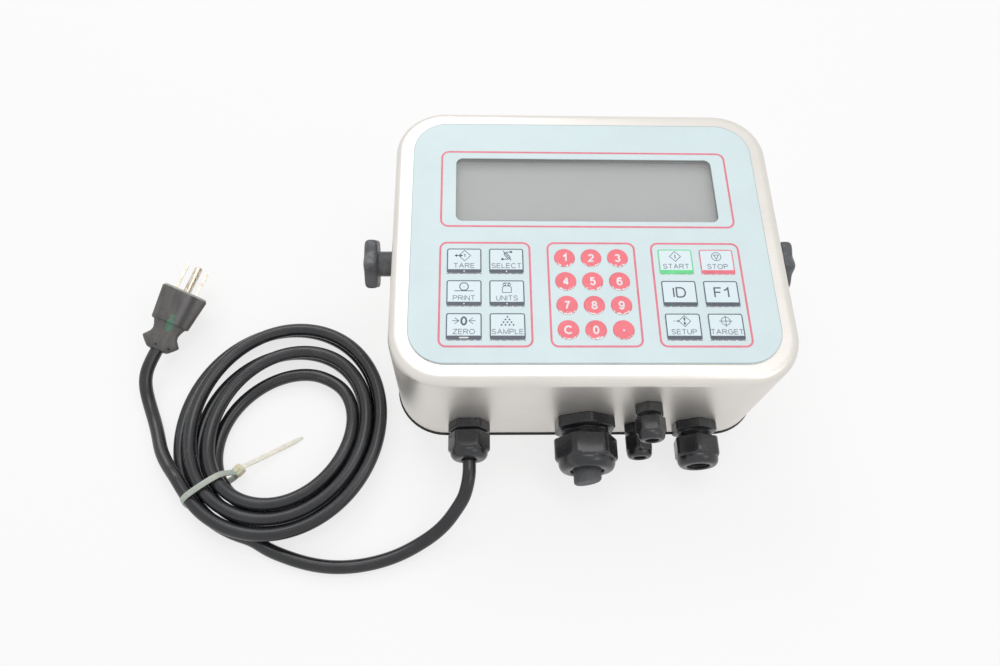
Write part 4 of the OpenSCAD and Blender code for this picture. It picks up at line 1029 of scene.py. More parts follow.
def plug_finish():
    """Dark grey moulding with streaks along it and pale marks. The grip has a groove with painted
    shade in it and a painted highlight stripe beside it, and a blot of green. Two small holes near
    the neck's end are painted as near-black discs of shade."""
    f = Finish("plug_moulding")
    grain = f.noise(500, 3, 0.6)
    marks = f.noise(70, 5, 0.65, distortion=0.5)
    streaks = f.noise(1, 3, 0.6, f.placed((260, 70, 1), f.surface()))
    x, y, z = f.parts()
    along, side = [
        (x * axis[0] + y * axis[1] + z * axis[2]) * 1000 - float(axis @ PLUG_AT)
        for axis in PLUG_TURN.T[:2]
    ]
    tone = f.mix(streaks.step(0.32, 0.68), tint(82, 79, 77), tint(100, 97, 95))
    tone = f.mix(marks.step(0.52, 0.8) * 0.45, tone, tint(132, 126, 120))
    grip = along.step(15, 19)
    # Painted shade: the groove on the grip is coloured dark, as shade would fall in it, and also
    # dented by the bump
    shaded_groove = abs(side + 6.2 + (marks - 0.5) * 1.6).step(2.5, 0.6) * grip
    tone = f.mix(shaded_groove * 0.8, tone, tint(42, 44, 46))
    # Painted highlight: a bluish-grey stripe beside the groove, where a sheen of light would lie
    painted_highlight = abs(side + 2.6).step(2.0, 0.3) * grip
    tone = f.mix(painted_highlight * 0.35, tone, tint(120, 124, 134))
    bend = side + 0.6 - (along - 16) * (along - 16) * 0.035
    reach = ((along - 17) * (along - 17) / 30 + bend * bend / 4.5) ** 0.5
    blot = f.noise(230, 4, 0.7, distortion=1.0)
    green = (reach + (blot - 0.5) * 3.2).step(1.3, 0.5)
    tone = f.mix(green * 0.72, tone, tint(84, 142, 112))
    # Painted shade: the two holes are not cut but drawn as near-black discs
    for place in (2.0, -6.0):
        away = ((along - 2.5) * (along - 2.5) + (side - place) * (side - place)) ** 0.5
        tone = f.mix(away.step(0.85, 0.6), tone, tint(8, 8, 8))
    f.set(base_color=tone, roughness=0.5 + (marks - 0.5) * 0.2)
    return f.bump(grain * 0.3 + marks * 0.4 - shaded_groove * 2.5, 0.0001, 0.5)


def build_plug():
    """Moulded mains plug: the flared grip, its neck with two wings, and the pale face insert."""
    moulding = plug_finish()
    insert = moulded_finish("plug_insert", tint(178, 178, 172), 0.45, 0.3)
    body, face = [
        Solid().add(set_at([plug_section(*s) for s in sections], PLUG_AT, PLUG_TURN.T))
        for sections in (PLUG_SECTIONS, FACE_SECTIONS)
    ]
    return [
        body.build(
            "plug_moulding", HOME, moulding,
            slot="plug_moulding", replaces=("plug_body",), crease=50,
        ),
        face.build("plug_face", HOME, insert, slot="plug_moulding"),
    ]


# Housing

# Each gland's CAD node, the height of its middle, the width across flats, the thread's diameter,
# the lengths of the hexagon, of the bare thread and of the nut, the mouth's diameter, and the
# turns of the hexagon and of the nut in degrees
GLAND_COLUMNS = ("node", "z", "af", "thread", "hex", "space", "nut", "mouth", "turn", "nut_turn")
GLANDS = {
    name: dict(zip(GLAND_COLUMNS, values))
    for name, *values in (
        ("power", "power_gland_body", 24.7, 22, 18.6, 5.5, 1.2, 15.3, 9.2, 1, 6),
        ("large", "large_gland_body", 28.8, 33, 28.3, 6.3, 5.1, 18.8, 19.4, 28, -3),
        ("medium", "medium_gland_body", 22.2, 24, 20.4, 5.5, 4, 16.3, 13.1, 30, 36),
        ("small_upper", "small_gland_bodies", 54.9, 15, 12.5, 5.6, 1.8, 12.6, 7.3, -17, 13),
        ("small_lower", "small_gland_bodies", 20.5, 15, 12.5, 5.6, 1.8, 12.6, 7.3, -17, 42),
    )
}
# Directions of a gland's x, y and length on the gland wall, and clearance round its thread
GLAND_AXES = [(1, 0, 0), (0, 0, 1), (0, -1, 0)]
THREAD_GAP = 0.12
# Radii of the knobs' holes and of the screws' holes in the flange, and in the cover and gasket
KNOB_HOLE = 4.05
FLANGE_HOLE = 2.13
COVER_HOLE = 2.25
# Widths of the shell's return flange and of the gasket, and how far the pane reaches behind the
# edge of the display opening
FLANGE = 14
GASKET_WIDTH = 13
PANE_EDGE = 2
OPENING_CORNER = 4
# Places of the middle screws on the long sides
LONG_SIDE_SCREW = 47
# The field pressed into the cover: its height, its distance from the body's sides and its radius,
# and the profile of its slope as distances outwards and heights
FIELD_RISE = 2.6
FIELD_MARGIN = 20
FIELD_CORNER = 14
FIELD_PRESS = [
    (-4.0, 0), (-1.9, 0), (-1.2, 0.18), (-0.5, 0.75), (0.1, 1.6), (0.6, 2.3), (1.3, 2.55),
    (2.2, FIELD_RISE),
]
SHEET = 1.2


def gland_origin(gland):
    """Middle of a gland's hole in the gland wall."""
    low, high = span(gland["node"])
    return (low[0] + high[0]) / 2, -BODY_D / 2, gland["z"]


def knob_place(side):
    """Origin and directions of a knob on the left wall, -1, or on the right one, 1."""
    return (side * BODY_W / 2, 0, KNOB_Z), [(0, 1, 0), (0, 0, 1), (side, 0, 0)]


def screw_spots():
    """Places of the ten cover screws: four near the corners, and two on each long side and one
    on each short side."""
    reach = (CORNER - SCREW_INSET) * math.sin(math.radians(45)) - CORNER
    near_x, near_y = BODY_W / 2 - SCREW_INSET, BODY_D / 2 - SCREW_INSET
    fours = ((BODY_W / 2 + reach, BODY_D / 2 + reach), (LONG_SIDE_SCREW, near_y))
    spots = [(a * x, b * y) for x, y in fours for a in (-1, 1) for b in (-1, 1)]
    return spots + [(-near_x, 0), (near_x, 0)]


def screw_cutter(radius, low, high):
    cutter = Solid()
    for x, y in screw_spots():
        cutter.add(set_at(turned([(radius, low), (radius, high)], 32), (x, y, 0), np.eye(3)))
    return cutter.build("cutter", None)


def body_sections(profile, corner):
    """Sections of the body's outline from a profile of distances inwards and heights."""
    return [(BODY_W - 2 * d, BODY_D - 2 * d, corner - d, z, 0, 0) for d, z in profile]


def build_shell(steel, wall, corner, bend, foot):
    """Drawn shell with its return flange and the holes for display, glands, knobs and screws."""
    low, high = HOUSING_LOW[2], HOUSING_HIGH[2]
    flange = wall + FLANGE
    ease = 0.4
    outside = [
        (flange, low), (foot + ease, low), *arc(foot, low + foot, -foot, 90, 0, 6),
        (0, low + foot + ease), (0, high - bend - ease),
        *arc(bend, high - bend, bend, 180, 90, 10), (bend + ease, high),
    ]
    inside = [
        (bend + ease, high - wall), *arc(bend, high - bend, bend - wall, 90, 180, 8),
        (wall, low + foot + ease), (wall, low + foot), (foot, low + wall), (flange, low + wall),
    ]
    window_low, window_high = span("display_window")
    width, depth = (window_high - window_low)[:2] - 2 * PANE_EDGE
    y = (window_high[1] + window_low[1]) / 2
    opening = [(width, depth, OPENING_CORNER, z, 0, y) for z in (high, high - wall)]
    sections = body_sections(outside, corner) + opening + body_sections(inside, corner)
    shell = Solid().add(rounded_rings(sections, 14), wrap=True)
    piece = shell.build(
        "housing_shell", HOME, steel, slot="housing_steel", replaces=("front_housing",)
    )
    cutter = Solid()
    for gland in GLANDS.values():
        radius = gland["thread"] / 2 + THREAD_GAP
        hole = turned([(radius, -wall - 2), (radius, 2)], 48)
        cutter.add(set_at(hole, gland_origin(gland), GLAND_AXES))
    for side in (-1, 1):
        hole = turned([(KNOB_HOLE, -3), (KNOB_HOLE, 3)], 40)
        cutter.add(set_at(hole, *knob_place(side)))
    cut(piece, cutter.build("cutter", None))
    cut(piece, screw_cutter(FLANGE_HOLE, low - 1, low + wall + 1))


def build_cover(steel, corner):
    """Rear cover of thin sheet: a field pressed outwards within its rim."""
    rim, top = COVER_LOW[2] + FIELD_RISE, COVER_HIGH[2]
    field_w, field_d = BODY_W - 2 * FIELD_MARGIN, BODY_D - 2 * FIELD_MARGIN

    def field(inset, lift):
        """Sections of the slope round the field, moved in and up."""
        slope = [(d - inset, z + lift) for d, z in FIELD_PRESS]
        return [(field_w + 2 * d, field_d + 2 * d, FIELD_CORNER + d, z, 0, 0) for d, z in slope]

    edge = [
        (BODY_W - 0.5, BODY_D - 0.5, corner - 0.25, rim, 0, 0),
        (BODY_W, BODY_D, corner, rim + 0.25, 0, 0),
        (BODY_W, BODY_D, corner, top - 0.05, 0, 0),
        (BODY_W - 0.2, BODY_D - 0.2, corner, top, 0, 0),
    ]
    sections = field(0, 0) + edge + field(0.8, SHEET)[::-1]
    piece = Solid().add(rounded_rings(sections, 12)).build(
        "pressed_cover", HOME, steel, slot="housing_steel", replaces=("rear_cover",), crease=40
    )
    cut(piece, screw_cutter(COVER_HOLE, rim - 1, top + 1))


def build_gasket(corner):
    """Rubber gasket that bulges a little past the steel."""
    rubber = moulded_finish("gasket_rubber", tint(34, 34, 36), 0.6, 0.12, 900)
    low, high = GASKET_LOW[2], GASKET_HIGH[2]
    half = (high - low) / 2
    bulge = arc(half - 0.8, low + half, half, 270, 90, 9)
    profile = [(GASKET_WIDTH, low), (0.4, low), *bulge, (0.4, high), (GASKET_WIDTH, high)]
    piece = Solid().add(rounded_rings(body_sections(profile, corner), 12), wrap=True).build(
        "gasket_ring", HOME, rubber, slot="gasket_rubber", replaces=("rear_gasket",)
    )
    cut(piece, screw_cutter(COVER_HOLE, low - 1, high + 1))


class INDICATOR_OT_housing(bpy.types.Operator):
    """Drawn steel housing, rear cover with its pressed field, gasket and screws"""

    bl_idname = "indicator.housing"
    bl_label = "Housing"

    def execute(self, context):
        settings = context.scene.indicator_housing
        sizes = [getattr(settings, n) / MM for n in ("wall", "corner", "bend", "foot")]
        steel = steel_finish("housing_steel", tuple(settings.steel))
        build_shell(steel, *sizes)
        build_cover(steel, sizes[1])
        build_gasket(sizes[1])
        fixing = steel_finish("fixing_steel", tint(205, 205, 206), 0.3)
        dress(fixing, "cover_screws", "knob_stud_left", "knob_stud_right", "board_standoffs")
        return {"FINISHED"}


# Label, display and keys

# Left, right, lower and upper edge and corner radius of the red frames round the display and keys
FRAMES = [
    (-82.8, 82.8, 5.6, 56.6, 4.2), (-82.8, -33.8, -67.8, -5.2, 3.8),
    (-23.8, 24.2, -67.8, -5.2, 3.8), (33.8, 82.6, -67.8, -5.2, 3.8),
]
FRAME_LINE = 1.15
EDGE_LINE = 0.3
LABEL_CORNER = 19.7
FUNCTION_KEYS = [
    "tare", "select", "print", "units", "zero", "sample",
    "start", "stop", "id", "f1", "setup", "target",
]
NUMBER_KEYS = [*"1234567890", "clear", "point"]
# How far print reaches down into the film, and into a key's cap
FILM_SINK = 0.02
CAP_SINK = 0.01
# How far in from the film's opening a key's print ends
PRINT_INSET = KEY_GAP + 0.02
OUTLINE = 0.55
BAR_DEPTH = 2.2
# Height and stroke of the words, of the two large signs and of the figures
WORD_SIZE, WORD_STROKE = 3.1, 0.42
SIGN_SIZE, SIGN_STROKE = 6.4, 0.8
FIGURE_SIZE, FIGURE_STROKE = 5.1, 1.0


class INDICATOR_OT_label(bpy.types.Operator):
    """Printed film with its red frames and the display behind its pane"""

    bl_idname = "indicator.label"
    bl_label = "Label and display"

    def execute(self, context):
        label = context.scene.indicator_label
        dress(film_finish("label_film", tuple(label.film)), "keypad_overlay")
        dress(film_finish("circuit_film", tint(206, 220, 224), 0.5), "keypad_circuit")
        low, high = LABEL_TOP - FILM_SINK, LABEL_TOP + label.print_height / MM
        frames = Solid()
        for left, right, bottom, top, radius in FRAMES:
            x, y = (left + right) / 2, (bottom + top) / 2
            path = rounded_path(right - left, top - bottom, radius, x, y)
            frames.add(stroke(path, FRAME_LINE, low, high, True), wrap=True)
        red = ink_finish("red_ink", tuple(label.red))
        frames.build("label_frames", HOME, red, slot="red_film")
        # A thin greyer line round the film's edge: painted shadow of the film's thickness, partly
        # its adhesive
        width, depth = (LABEL_HIGH - LABEL_LOW)[:2] - 0.5
        path = rounded_path(width, depth, LABEL_CORNER, steps=16)
        line = Solid().add(stroke(path, EDGE_LINE, low, high, True), wrap=True)
        edge = ink_finish("edge_shade_line", tint(184, 198, 202))
        line.build("label_edge", HOME, edge, slot="label_film")

        pane = Finish("pane_clear", roughness=0.09, ior=1.49, base_color=tint(206, 207, 207))
        pane.set(alpha=0.22 + (pane.noise(40, 4, 0.6) - 0.5) * 0.04)
        pane.material.blend_method = "BLEND"
        dress(pane, "display_window")
        glass = Finish("display_glass", roughness=0.34)
        shade = glass.noise(9, 2, 0.5).step(0.2, 0.8)
        glass.set(base_color=glass.mix(shade, tint(205, 206, 207), tint(209, 210, 211)))
        dress(glass, "lcd_glass")
        dress(moulded_finish("bezel_plastic", tint(52, 52, 54), 0.5), "lcd_bezel")
        return {"FINISHED"}


def diamond(x, y, reach):
    return [(x + reach, y), (x, y + reach), (x - reach, y), (x, y - reach)]


def icon(solid, key, x, y, low, high):
    """Draws a key's pictogram about x and y in thin strokes."""
    thin = 0.34

    def line(points, width=thin, closed=False):
        path = np.array(points, float) + [x, y]
        solid.add(stroke(path, width, low, high, closed), wrap=closed)

    def dot(across, up, radius):
        solid.add(prism(circle_path(x + across, y + up, radius, 12), low, high))

    def ring(across, up, radius, width=thin):
        line(circle_path(across, up, radius), width, True)

    def wedge(tail, tip, width, head):
        """A line from tail to tip with a filled arrowhead."""
        line([tail, tip], width)
        tail, tip = np.array(tail, float), np.array(tip, float)
        back = (tail - tip) / np.linalg.norm(tail - tip) * head
        side = np.array([-back[1], back[0]]) * 0.7
        solid.add(prism(np.array([tip, tip + back + side, tip + back - side]) + [x, y], low, high))

    if key == "tare":
        line(diamond(0.25, 0, 3.3), closed=True)
        letters(solid, "T", x + 0.35, y - 0.1, 1.9, 0.4, low, high)
        wedge((-3.0, 0), (-5.2, 0), 0.36, 1.35)
        wedge((-3.0, 0), (-0.8, 0), 0.36, 1.35)
    elif key == "select":
        line([(-1.7, 3.1), (2.7, -2.9)], 0.42)
        line([(2.5, 2.4), (0.2, 2.2), (-1.1, 1.4), (-0.9, 0.5), (0.9, -1.8)], 0.42)
        line([(-1.9, -2.2), (1.2, -2.2), (2.2, -1.4), (2.0, -0.5), (0.2, 1.8)], 0.42)
        dot(2.7, 2.4, 0.72)
        dot(-2.1, -2.2, 0.72)
    elif key == "print":
        ring(0, 0.6, 2.3, 0.52)
        line([(-5.1, -2.0), (5.1, -2.0)], 0.46)
        dot(0, 0.6, 0.25)
    elif key == "units":
        case = [(-2.4, -3.0), (2.4, -3.0), (2.4, 0.2), (1.2, 1.0), (-1.2, 1.0), (-2.4, 0.2)]
        line(case, closed=True)
        for sign in (-1, 1):
            ring(sign * 1.35, 1.9, 0.7)
            dot(sign * 0.8, 1.1, 0.32)
        line([(-1.8, 2.8), (1.8, 2.8)])
    elif key == "zero":
        letters(solid, "0", x, y - 0.1, 5.3, 1.0, low, high)
        for sign in (-1, 1):
            line([(sign * 6.2, 0), (sign * 2.7, 0)])
            line([(sign * 4.8, 1.8), (sign * 2.7, 0), (sign * 4.8, -1.8)])
    elif key == "sample":
        for row in range(4):
            for place in range(row + 1):
                dot((place - row / 2) * 2.1, 2.3 - row * 1.55, 0.5)
    elif key == "start":
        line(diamond(0, 0, 3.1), closed=True)
        line([(0, -1.2), (0, 1.2)], 0.5)
    elif key == "stop":
        ring(0, 0, 2.6)
        line([(-1.4, 1.0), (1.4, 1.0), (0, -1.6)], closed=True)
    elif key == "setup":
        line(diamond(0.9, 0, 3.2), closed=True)
        for sign in (-1, 1):
            wedge((0.9, 0), (0.9, sign * 2.2), 0.42, 1.2)
        dot(-5.0, 0, 0.24)
        dot(-4.2, 0, 0.24)
        wedge((-3.7, 0), (-1.9, 0), thin, 1.0)
    elif key == "target":
        ring(0, 0, 2.4)
        line([(-3.6, 0), (3.6, 0)])
        line([(0, -3.3), (0, 3.3)])


def bar_grid(left, right, bottom, top, seed, low, high):
    """The bar under a key as a thin solid: four corners across the strip at each place along it.
    Its lower edge is worn by the positive part of a sum of three sines."""
    x = np.linspace(left, right, 72)
    phase = seed * 2.399
    wear = 0.2 * (np.sin(x * 1.7 + phase) + np.sin(x * 4.3 + 2 * phase))
    wear += 0.14 * np.sin(x * 9.1 + phase)
    edge = np.minimum(bottom + np.maximum(0, wear), top - 0.02)
    flat = np.full_like(x, top)
    corners = [(edge, low), (flat, low), (flat, high), (edge, high)]
    return np.stack([np.column_stack([x, y, np.full_like(x, z)]) for y, z in corners], 1)


def key_place(key):
    """Middle of a key, the width and depth of its opening in the film, and its cap's height."""
    low, high = span("key_" + key)
    width, depth = (high - low)[:2] - 2 * KEY_FLANGE
    return (low[0] + high[0]) / 2, (low[1] + high[1]) / 2, width, depth, high[2]


def add_foot(feet, key, seed, rise):
    """Adds the strip on the film below a key: bare white in paint 0, and the lower edge of the
    bar in 1, or in 2 for start and 3 for stop."""
    x, y, width, depth, _ = key_place(key)
    low, high = LABEL_TOP - FILM_SINK, LABEL_TOP + rise
    foot, edge = y - depth / 2 - 0.4, y - depth / 2 - 0.02
    feet.add(prism(rounded_path(width - 0.1, 0.5, 0.2, x, foot + 0.2, 4), low, high))
    strip = bar_grid(x - width / 2, x + width / 2, foot, edge, seed, low, high + 0.01)
    feet.add(strip, paint={"start": 2, "stop": 3}.get(key, 1))


def function_print(key, rise):
    """A function key's outline and bar in paint 1, its pictogram in 0 and its word in 2, or its
    two large signs in 0, and the white mark on the bar in 3."""
    x, y, width, depth, top = key_place(key)
    cap_w, cap_d = width - 2 * PRINT_INSET, depth - 2 * PRINT_INSET
    under, over = top - CAP_SINK, top + rise
    outline = rounded_path(cap_w - 0.56, cap_d - 0.56, 1, x, y, 5)
    bar = rounded_path(cap_w, BAR_DEPTH, 1.09, x, y - cap_d / 2 + BAR_DEPTH / 2, 6)
    solid = Solid().add(stroke(outline, OUTLINE, under, over, True), wrap=True, paint=1)
    solid.add(prism(bar, under, over + 0.01), paint=1)
    if key in ("id", "f1"):
        letters(solid, key.upper(), x, y + 0.6, SIGN_SIZE, SIGN_STROKE, under, over)
    else:
        icon(solid, key, x, y + 3.2, under, over)
        letters(solid, key.upper(), x, y - 3.05, WORD_SIZE, WORD_STROKE, under, over, 2)
    mark_y = y - depth / 2 + 1.2
    if key in ("tare", "select", "print", "units"):
        solid.add(prism(circle_path(x, mark_y, 0.42, 12), over, over + 0.03), paint=3)
    if key == "zero":
        solid.add(prism(rounded_path(5.0, 0.8, 0.35, x, mark_y, 4), over, over + 0.03), paint=3)
    return solid


def number_print(key, rise):
    """The figure, letter or point on a number key."""
    x, y, _, _, top = key_place(key)
    low, high = top - CAP_SINK, top + rise
    solid = Solid()
    if key == "point":
        return solid.add(prism(circle_path(x + 0.1, y - 0.2, 0.62, 16), low, high))
    figure = {"clear": "C"}.get(key, key)
    letters(solid, figure, x, y, FIGURE_SIZE, FIGURE_STROKE, low, high)
    return solid


class INDICATOR_OT_keys(bpy.types.Operator):
    """Key faces and their print: outlines, bars, pictograms, words and figures"""

    bl_idname = "indicator.keys"
    bl_label = "Keys"

    def execute(self, context):
        label = context.scene.indicator_label
        rise = label.print_height / MM
        face = film_finish("key_film", tuple(label.key), 0.38)
        ink = ink_finish("dark_ink", tuple(label.ink))
        word_ink = ink_finish("word_ink", tint(140, 147, 158))
        green = ink_finish("green_ink", tuple(label.start))
        stop = ink_finish("stop_ink", tuple(label.stop))
        white = ink_finish("white_ink", tint(250, 244, 246))
        special = {"start": (green, "green_film"), "stop": (stop, "red_film")}
        feet = Solid()
        for seed, key in enumerate(FUNCTION_KEYS):
            dress(face, "key_" + key)
            add_foot(feet, key, seed, rise)
            bar, slot = special.get(key, (ink, "label_film"))
            function_print(key, rise).build(
                "print_" + key, "key_%s_body" % key, ink, bar, word_ink, white, slot=slot
            )
        feet.build("key_feet", HOME, white, ink, green, stop, slot="label_film")
        for key in NUMBER_KEYS:
            x, y = key_place(key)[:2]
            disc = disc_finish("disc_" + key, tuple(label.disc), (x * MM, y * MM))
            dress(disc, "key_" + key)
            number_print(key, rise).build(
                "print_" + key, "key_%s_body" % key, white, slot="red_film"
            )
        return {"FINISHED"}


# Knobs and glands

# Radius, height and share of the lobes' depth at each point of a knob's profile
KNOB_PROFILE = [
    (4.2, 0.1, 0), (6.9, 0.1, 0), (7.4, 0.6, 0), (7.4, 9.2, 0), (7.8, 9.9, 0), (9.0, 10.2, 0.1),
    (12.6, 10.3, 0.75), (14.2, 10.5, 0.95), (15.5, 11.0, 1.0), (16.0, 12.0, 1.0),
    (16.1, 14.0, 1.0), (16.0, 15.6, 1.0), (15.4, 16.8, 1.0), (14.3, 17.6, 0.95),
    (12.8, 17.9, 0.85), (11.4, 18.0, 0.6), (8.6, 18.1, 0.1), (7.6, 17.9, 0), (5.0, 17.8, 0),
    (2.0, 17.8, 0),
]
LOBES = 6
LOBE_DEPTH = 0.225
# The right knob is screwed this much further in
RIGHT_INWARDS = 4.2


class INDICATOR_OT_knobs(bpy.types.Operator):
    """Two lobed clamping knobs"""

    bl_idname = "indicator.knobs"
    bl_label = "Knobs"

    def execute(self, context):
        # The grey base and heavy dust share are partly real dust and handling marks, and partly a
        # painted sheen that lightens the black knobs all over
        plastic = moulded_finish("knob_plastic", tint(90, 92, 96), 0.32, 0.35, 500)
        lobe = (0.5 - 0.5 * np.cos(LOBES * (round_angles(120) - np.pi / 6 + np.pi / 2))) ** 0.75
        radius, height, share = np.array(KNOB_PROFILE).T
        table = radius[:, None] * (1 - LOBE_DEPTH * share[:, None] * lobe[None, :])
        for side, word, inwards in ((-1, "left", 0), (1, "right", RIGHT_INWARDS)):
            grid = ring_grid(table, height - np.where(height > 1, inwards, 0))
            Solid().add(set_at(grid, *knob_place(side))).build(
                "knob_cap_" + word, "knob_%s_body" % word, plastic,
                slot="knob_plastic", replaces=("knob_" + word,), crease=50,
            )
        return {"FINISHED"}


NUT_SIDES = 144
PITCH = 1.5
THREAD_DEPTH = 0.75
# Distance of the planes that cut the hexagon's corners, with its flats at 1
CUT_CORNER = 1.104


def facets(turn):
    """Outline of a hexagon with narrowly cut corners, its flats at radius 1: the rounded meeting
    of twelve half planes, r = sum((cos(angle - normal) / distance) ** sharp) ** (-1 / sharp)."""
    sharp = 110
    plane = np.arange(12)
    normal = np.radians(turn + 30 + 30 * plane)
    distance = np.where(plane % 2 == 0, 1, CUT_CORNER)
    pull = np.maximum(0, np.cos(round_angles(NUT_SIDES)[:, None] - normal)) / distance
    return (pull**sharp).sum(1) ** (-1 / sharp)


def gland_body_grid(g):
    """Hexagon, threaded neck and bore of a gland's body, as one closed profile. The thread's depth
    is a zigzag of the height over the pitch less the share of a turn."""
    six, ring = facets(g["turn"]), np.ones(NUT_SIDES)
    flat, screw = g["af"] / 2, g["thread"] / 2
    bore = screw - 2
    end = g["hex"] + g["space"] + g["nut"] - 3.2
    neck = np.arange(g["hex"] + 0.25, g["hex"] + g["space"] + 1.0, 0.25)
    share = np.linspace(0, 1, NUT_SIDES, endpoint=False)
    wave = np.abs(((neck[:, None] / PITCH - share[None, :]) % 1) * 2 - 1)
    rows = [
        (ring * bore, -10), (ring * (screw - 0.6), -10), (ring * screw, -9.4), (ring * screw, 0),
        (six * (flat - 0.5), 0), (six * flat, 0.5), (six * flat, g["hex"] - 0.5),
        (six * (flat - 0.45), g["hex"] - 0.08), (six * (flat - 1.2), g["hex"]),
        (ring * (screw + 0.1), g["hex"]), *zip(screw - THREAD_DEPTH * wave, neck),
        (ring * screw, g["hex"] + g["space"] + 1.2), (ring * screw, end), (ring * bore, end),
    ]
    return ring_grid(np.stack([r for r, _ in rows]), [z for _, z in rows])


def gland_nut_grid(g):
    """Domed nut: in each row the radius is the rounded lesser of the hexagon's and the dome's,
    (hex ** -p + dome ** -p) ** (-1 / p). The dome starts as a short cone that cuts the corners,
    goes on as a quarter oval, and ends in a round lip."""
    six, ring = facets(g["nut_turn"]), np.ones(NUT_SIDES)
    flat, mouth, nut = g["af"] / 2, g["mouth"] / 2, g["nut"]
    inner = g["thread"] / 2 + THREAD_GAP
    lip = mouth + (flat - mouth) * 0.4
    roll = (lip - mouth) * 0.9
    dome = nut * 0.42
    power = 60
    cone = [(1.16, -0.02), (1.13, 0.06), (1.06, 0.17), (0.985, 0.27)]
    shape = [(flat * r, nut - dome + dome * z) for r, z in cone]
    for t in np.linspace(0, 1, 16)[1:]:
        radius = lip + (flat * 0.985 - lip) * math.sqrt(max(0, 1 - t**2.2))
        shape.append((radius, nut - dome * 0.73 + dome * 0.72 * t))
    rows = [(six * (flat - 0.8), 0), (six * (flat - 0.2), 0.12), (six * flat, 0.55)]
    rows += [(((six * flat) ** -power + float(r) ** -power) ** (-1 / power), z) for r, z in shape]
    rows += [
        (ring * (mouth + roll * 0.5), nut), (ring * (mouth + 0.35), nut - 0.12),
        (ring * mouth, nut - 0.5), (ring * mouth, nut - 1.6), (ring * inner, nut - 1.6),
        (ring * inner, 0),
    ]
    start = g["hex"] + g["space"]
    return ring_grid(np.stack([r for r, _ in rows]), [z + start for _, z in rows])


STOPPER_RADIUS = 7.9
STOPPER_SLANT = 8


def stopper_grid(g):
    """Rubber plug in the large gland: a bar with a rounded edge, its outer face slanted."""
    reach = g["hex"] + g["space"] + g["nut"] + 7.5
    rows = [
        (STOPPER_RADIUS, 3.15), (STOPPER_RADIUS, reach - 3), (STOPPER_RADIUS, reach - 1.6),
        (7.6, reach - 0.7), (7.0, reach - 0.2), (6.0, reach), (3.0, reach),
    ]
    radius, height = np.array(rows).T[:, :, None] * np.ones(64)
    slant = math.tan(math.radians(STOPPER_SLANT))
    height[1:] -= (radius[1:] * np.cos(round_angles(64)) + STOPPER_RADIUS) * slant
    return ring_grid(radius, height)


class INDICATOR_OT_glands(bpy.types.Operator):
    """Cable glands with their threads and domed nuts, seals and the blanking plug"""

    bl_idname = "indicator.glands"
    bl_label = "Cable glands"

    def execute(self, context):
        nylon = moulded_finish("gland_nylon", tint(45, 46, 49), 0.24, 0.14, 420)
        for group in ("power", "large", "medium", "small"):
            glands = [gland for name, gland in GLANDS.items() if name.startswith(group)]
            body_node = glands[0]["node"]
            nut_node = body_node.replace("bodies", "nuts").replace("body", "nut")
            parts = (("hexagon", gland_body_grid, body_node), ("dome", gland_nut_grid, nut_node))
            for part, grid, node in parts:
                solid = Solid()
                for gland in glands:
                    solid.add(set_at(grid(gland), gland_origin(gland), GLAND_AXES), wrap=True)
                solid.build(
                    "%s_gland_%s" % (group, part), HOME, nylon,
                    slot="gland_nylon", replaces=(node,), crease=38,
                )
        dress(nylon, "gland_locknuts")
        dress(moulded_finish("seal_rubber", tint(46, 46, 48), 0.5, 0.1, 600), "gland_seals")
        rubber = moulded_finish("blank_rubber", tint(84, 85, 88), 0.62, 0.25, 500)
        large = GLANDS["large"]
        stopper = Solid().add(set_at(stopper_grid(large), gland_origin(large), GLAND_AXES))
        stopper.build("stopper", HOME, rubber, slot="blank_rubber", replaces=("blanking_plug",))
        return {"FINISHED"}


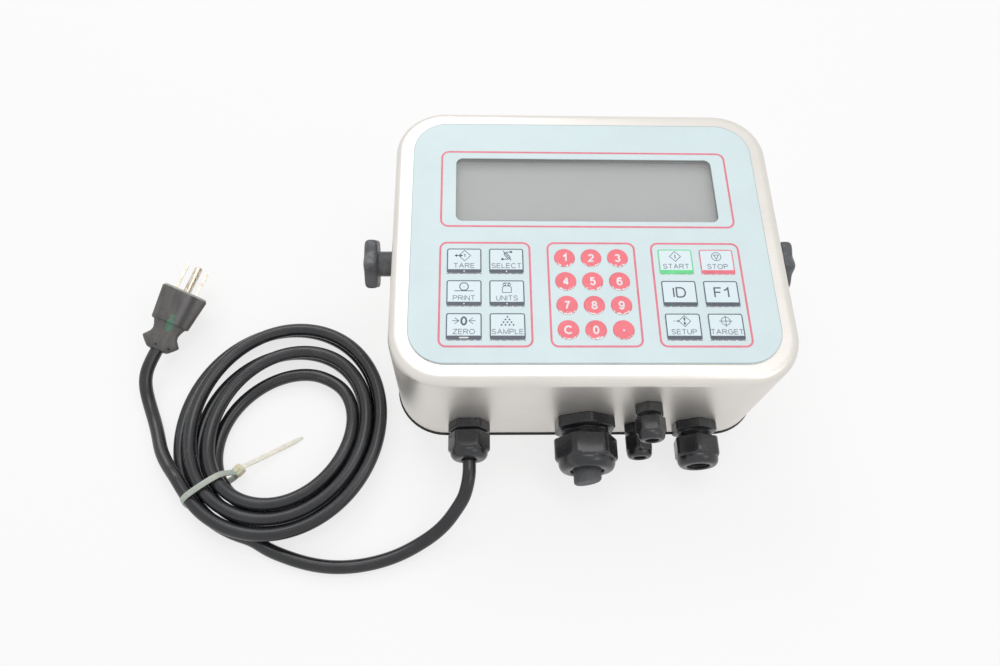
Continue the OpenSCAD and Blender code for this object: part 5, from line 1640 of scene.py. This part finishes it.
class INDICATOR_OT_inside(bpy.types.Operator):
    """Finishes of the boards, terminals and transformer inside"""

    bl_idname = "indicator.inside"
    bl_label = "Inside"

    def execute(self, context):
        board = Finish("board_laminate")
        track = board.noise(240, 2, 0.5).step(0.5, 0.54)
        board.set(
            base_color=board.mix(track, tint(22, 92, 52), tint(44, 122, 70)),
            roughness=0.35 + track * 0.1,
        )
        dress(board, "display_board", "main_board")
        dress(moulded_finish("component_plastic", tint(44, 45, 48), 0.4), "board_components")
        dress(moulded_finish("terminal_plastic", tint(40, 130, 84), 0.45), "terminal_blocks")
        stack = Finish("transformer_steel", metallic=0.6)
        radians_in_metre = 6283
        sheet = (stack.parts()[1] * radians_in_metre).sine()
        stack.set(
            base_color=stack.mix(sheet.step(-0.2, 0.6), tint(120, 106, 84), tint(150, 132, 98)),
            roughness=0.5 + sheet * 0.08,
        )
        dress(stack, "transformer")
        return {"FINISHED"}


class INDICATOR_PT_panel(bpy.types.Panel):
    """Lists the indicator's pieces and their settings"""

    bl_label = "Weighing Indicator"
    bl_idname = "INDICATOR_PT_panel"
    bl_space_type = "VIEW_3D"
    bl_region_type = "UI"
    bl_category = "Indicator"

    def draw(self, context):
        for group in SETTINGS:
            settings = getattr(context.scene, group)
            box = self.layout.box()
            for name in settings.__annotations__:
                box.prop(settings, name)
        for operator in OPERATORS:
            self.layout.operator(operator.bl_idname)


SETTINGS = {
    "indicator_housing": HousingSettings,
    "indicator_label": LabelSettings,
    "indicator_lead": LeadSettings,
    "indicator_stage": StageSettings,
}
OPERATORS = [
    INDICATOR_OT_stage,
    INDICATOR_OT_lead,
    INDICATOR_OT_housing,
    INDICATOR_OT_label,
    INDICATOR_OT_keys,
    INDICATOR_OT_knobs,
    INDICATOR_OT_glands,
    INDICATOR_OT_inside,
]


def register():
    for cls in [*SETTINGS.values(), *OPERATORS, INDICATOR_PT_panel]:
        bpy.utils.register_class(cls)
    for name, cls in SETTINGS.items():
        setattr(bpy.types.Scene, name, PointerProperty(type=cls))


def unregister():
    for name in SETTINGS:
        delattr(bpy.types.Scene, name)
    for cls in reversed([*SETTINGS.values(), *OPERATORS, INDICATOR_PT_panel]):
        bpy.utils.unregister_class(cls)


def main():
    register()
    for operator in OPERATORS:
        group, name = operator.bl_idname.split(".")
        getattr(getattr(bpy.ops, group), name)()


if __name__ == "__main__":
    main()
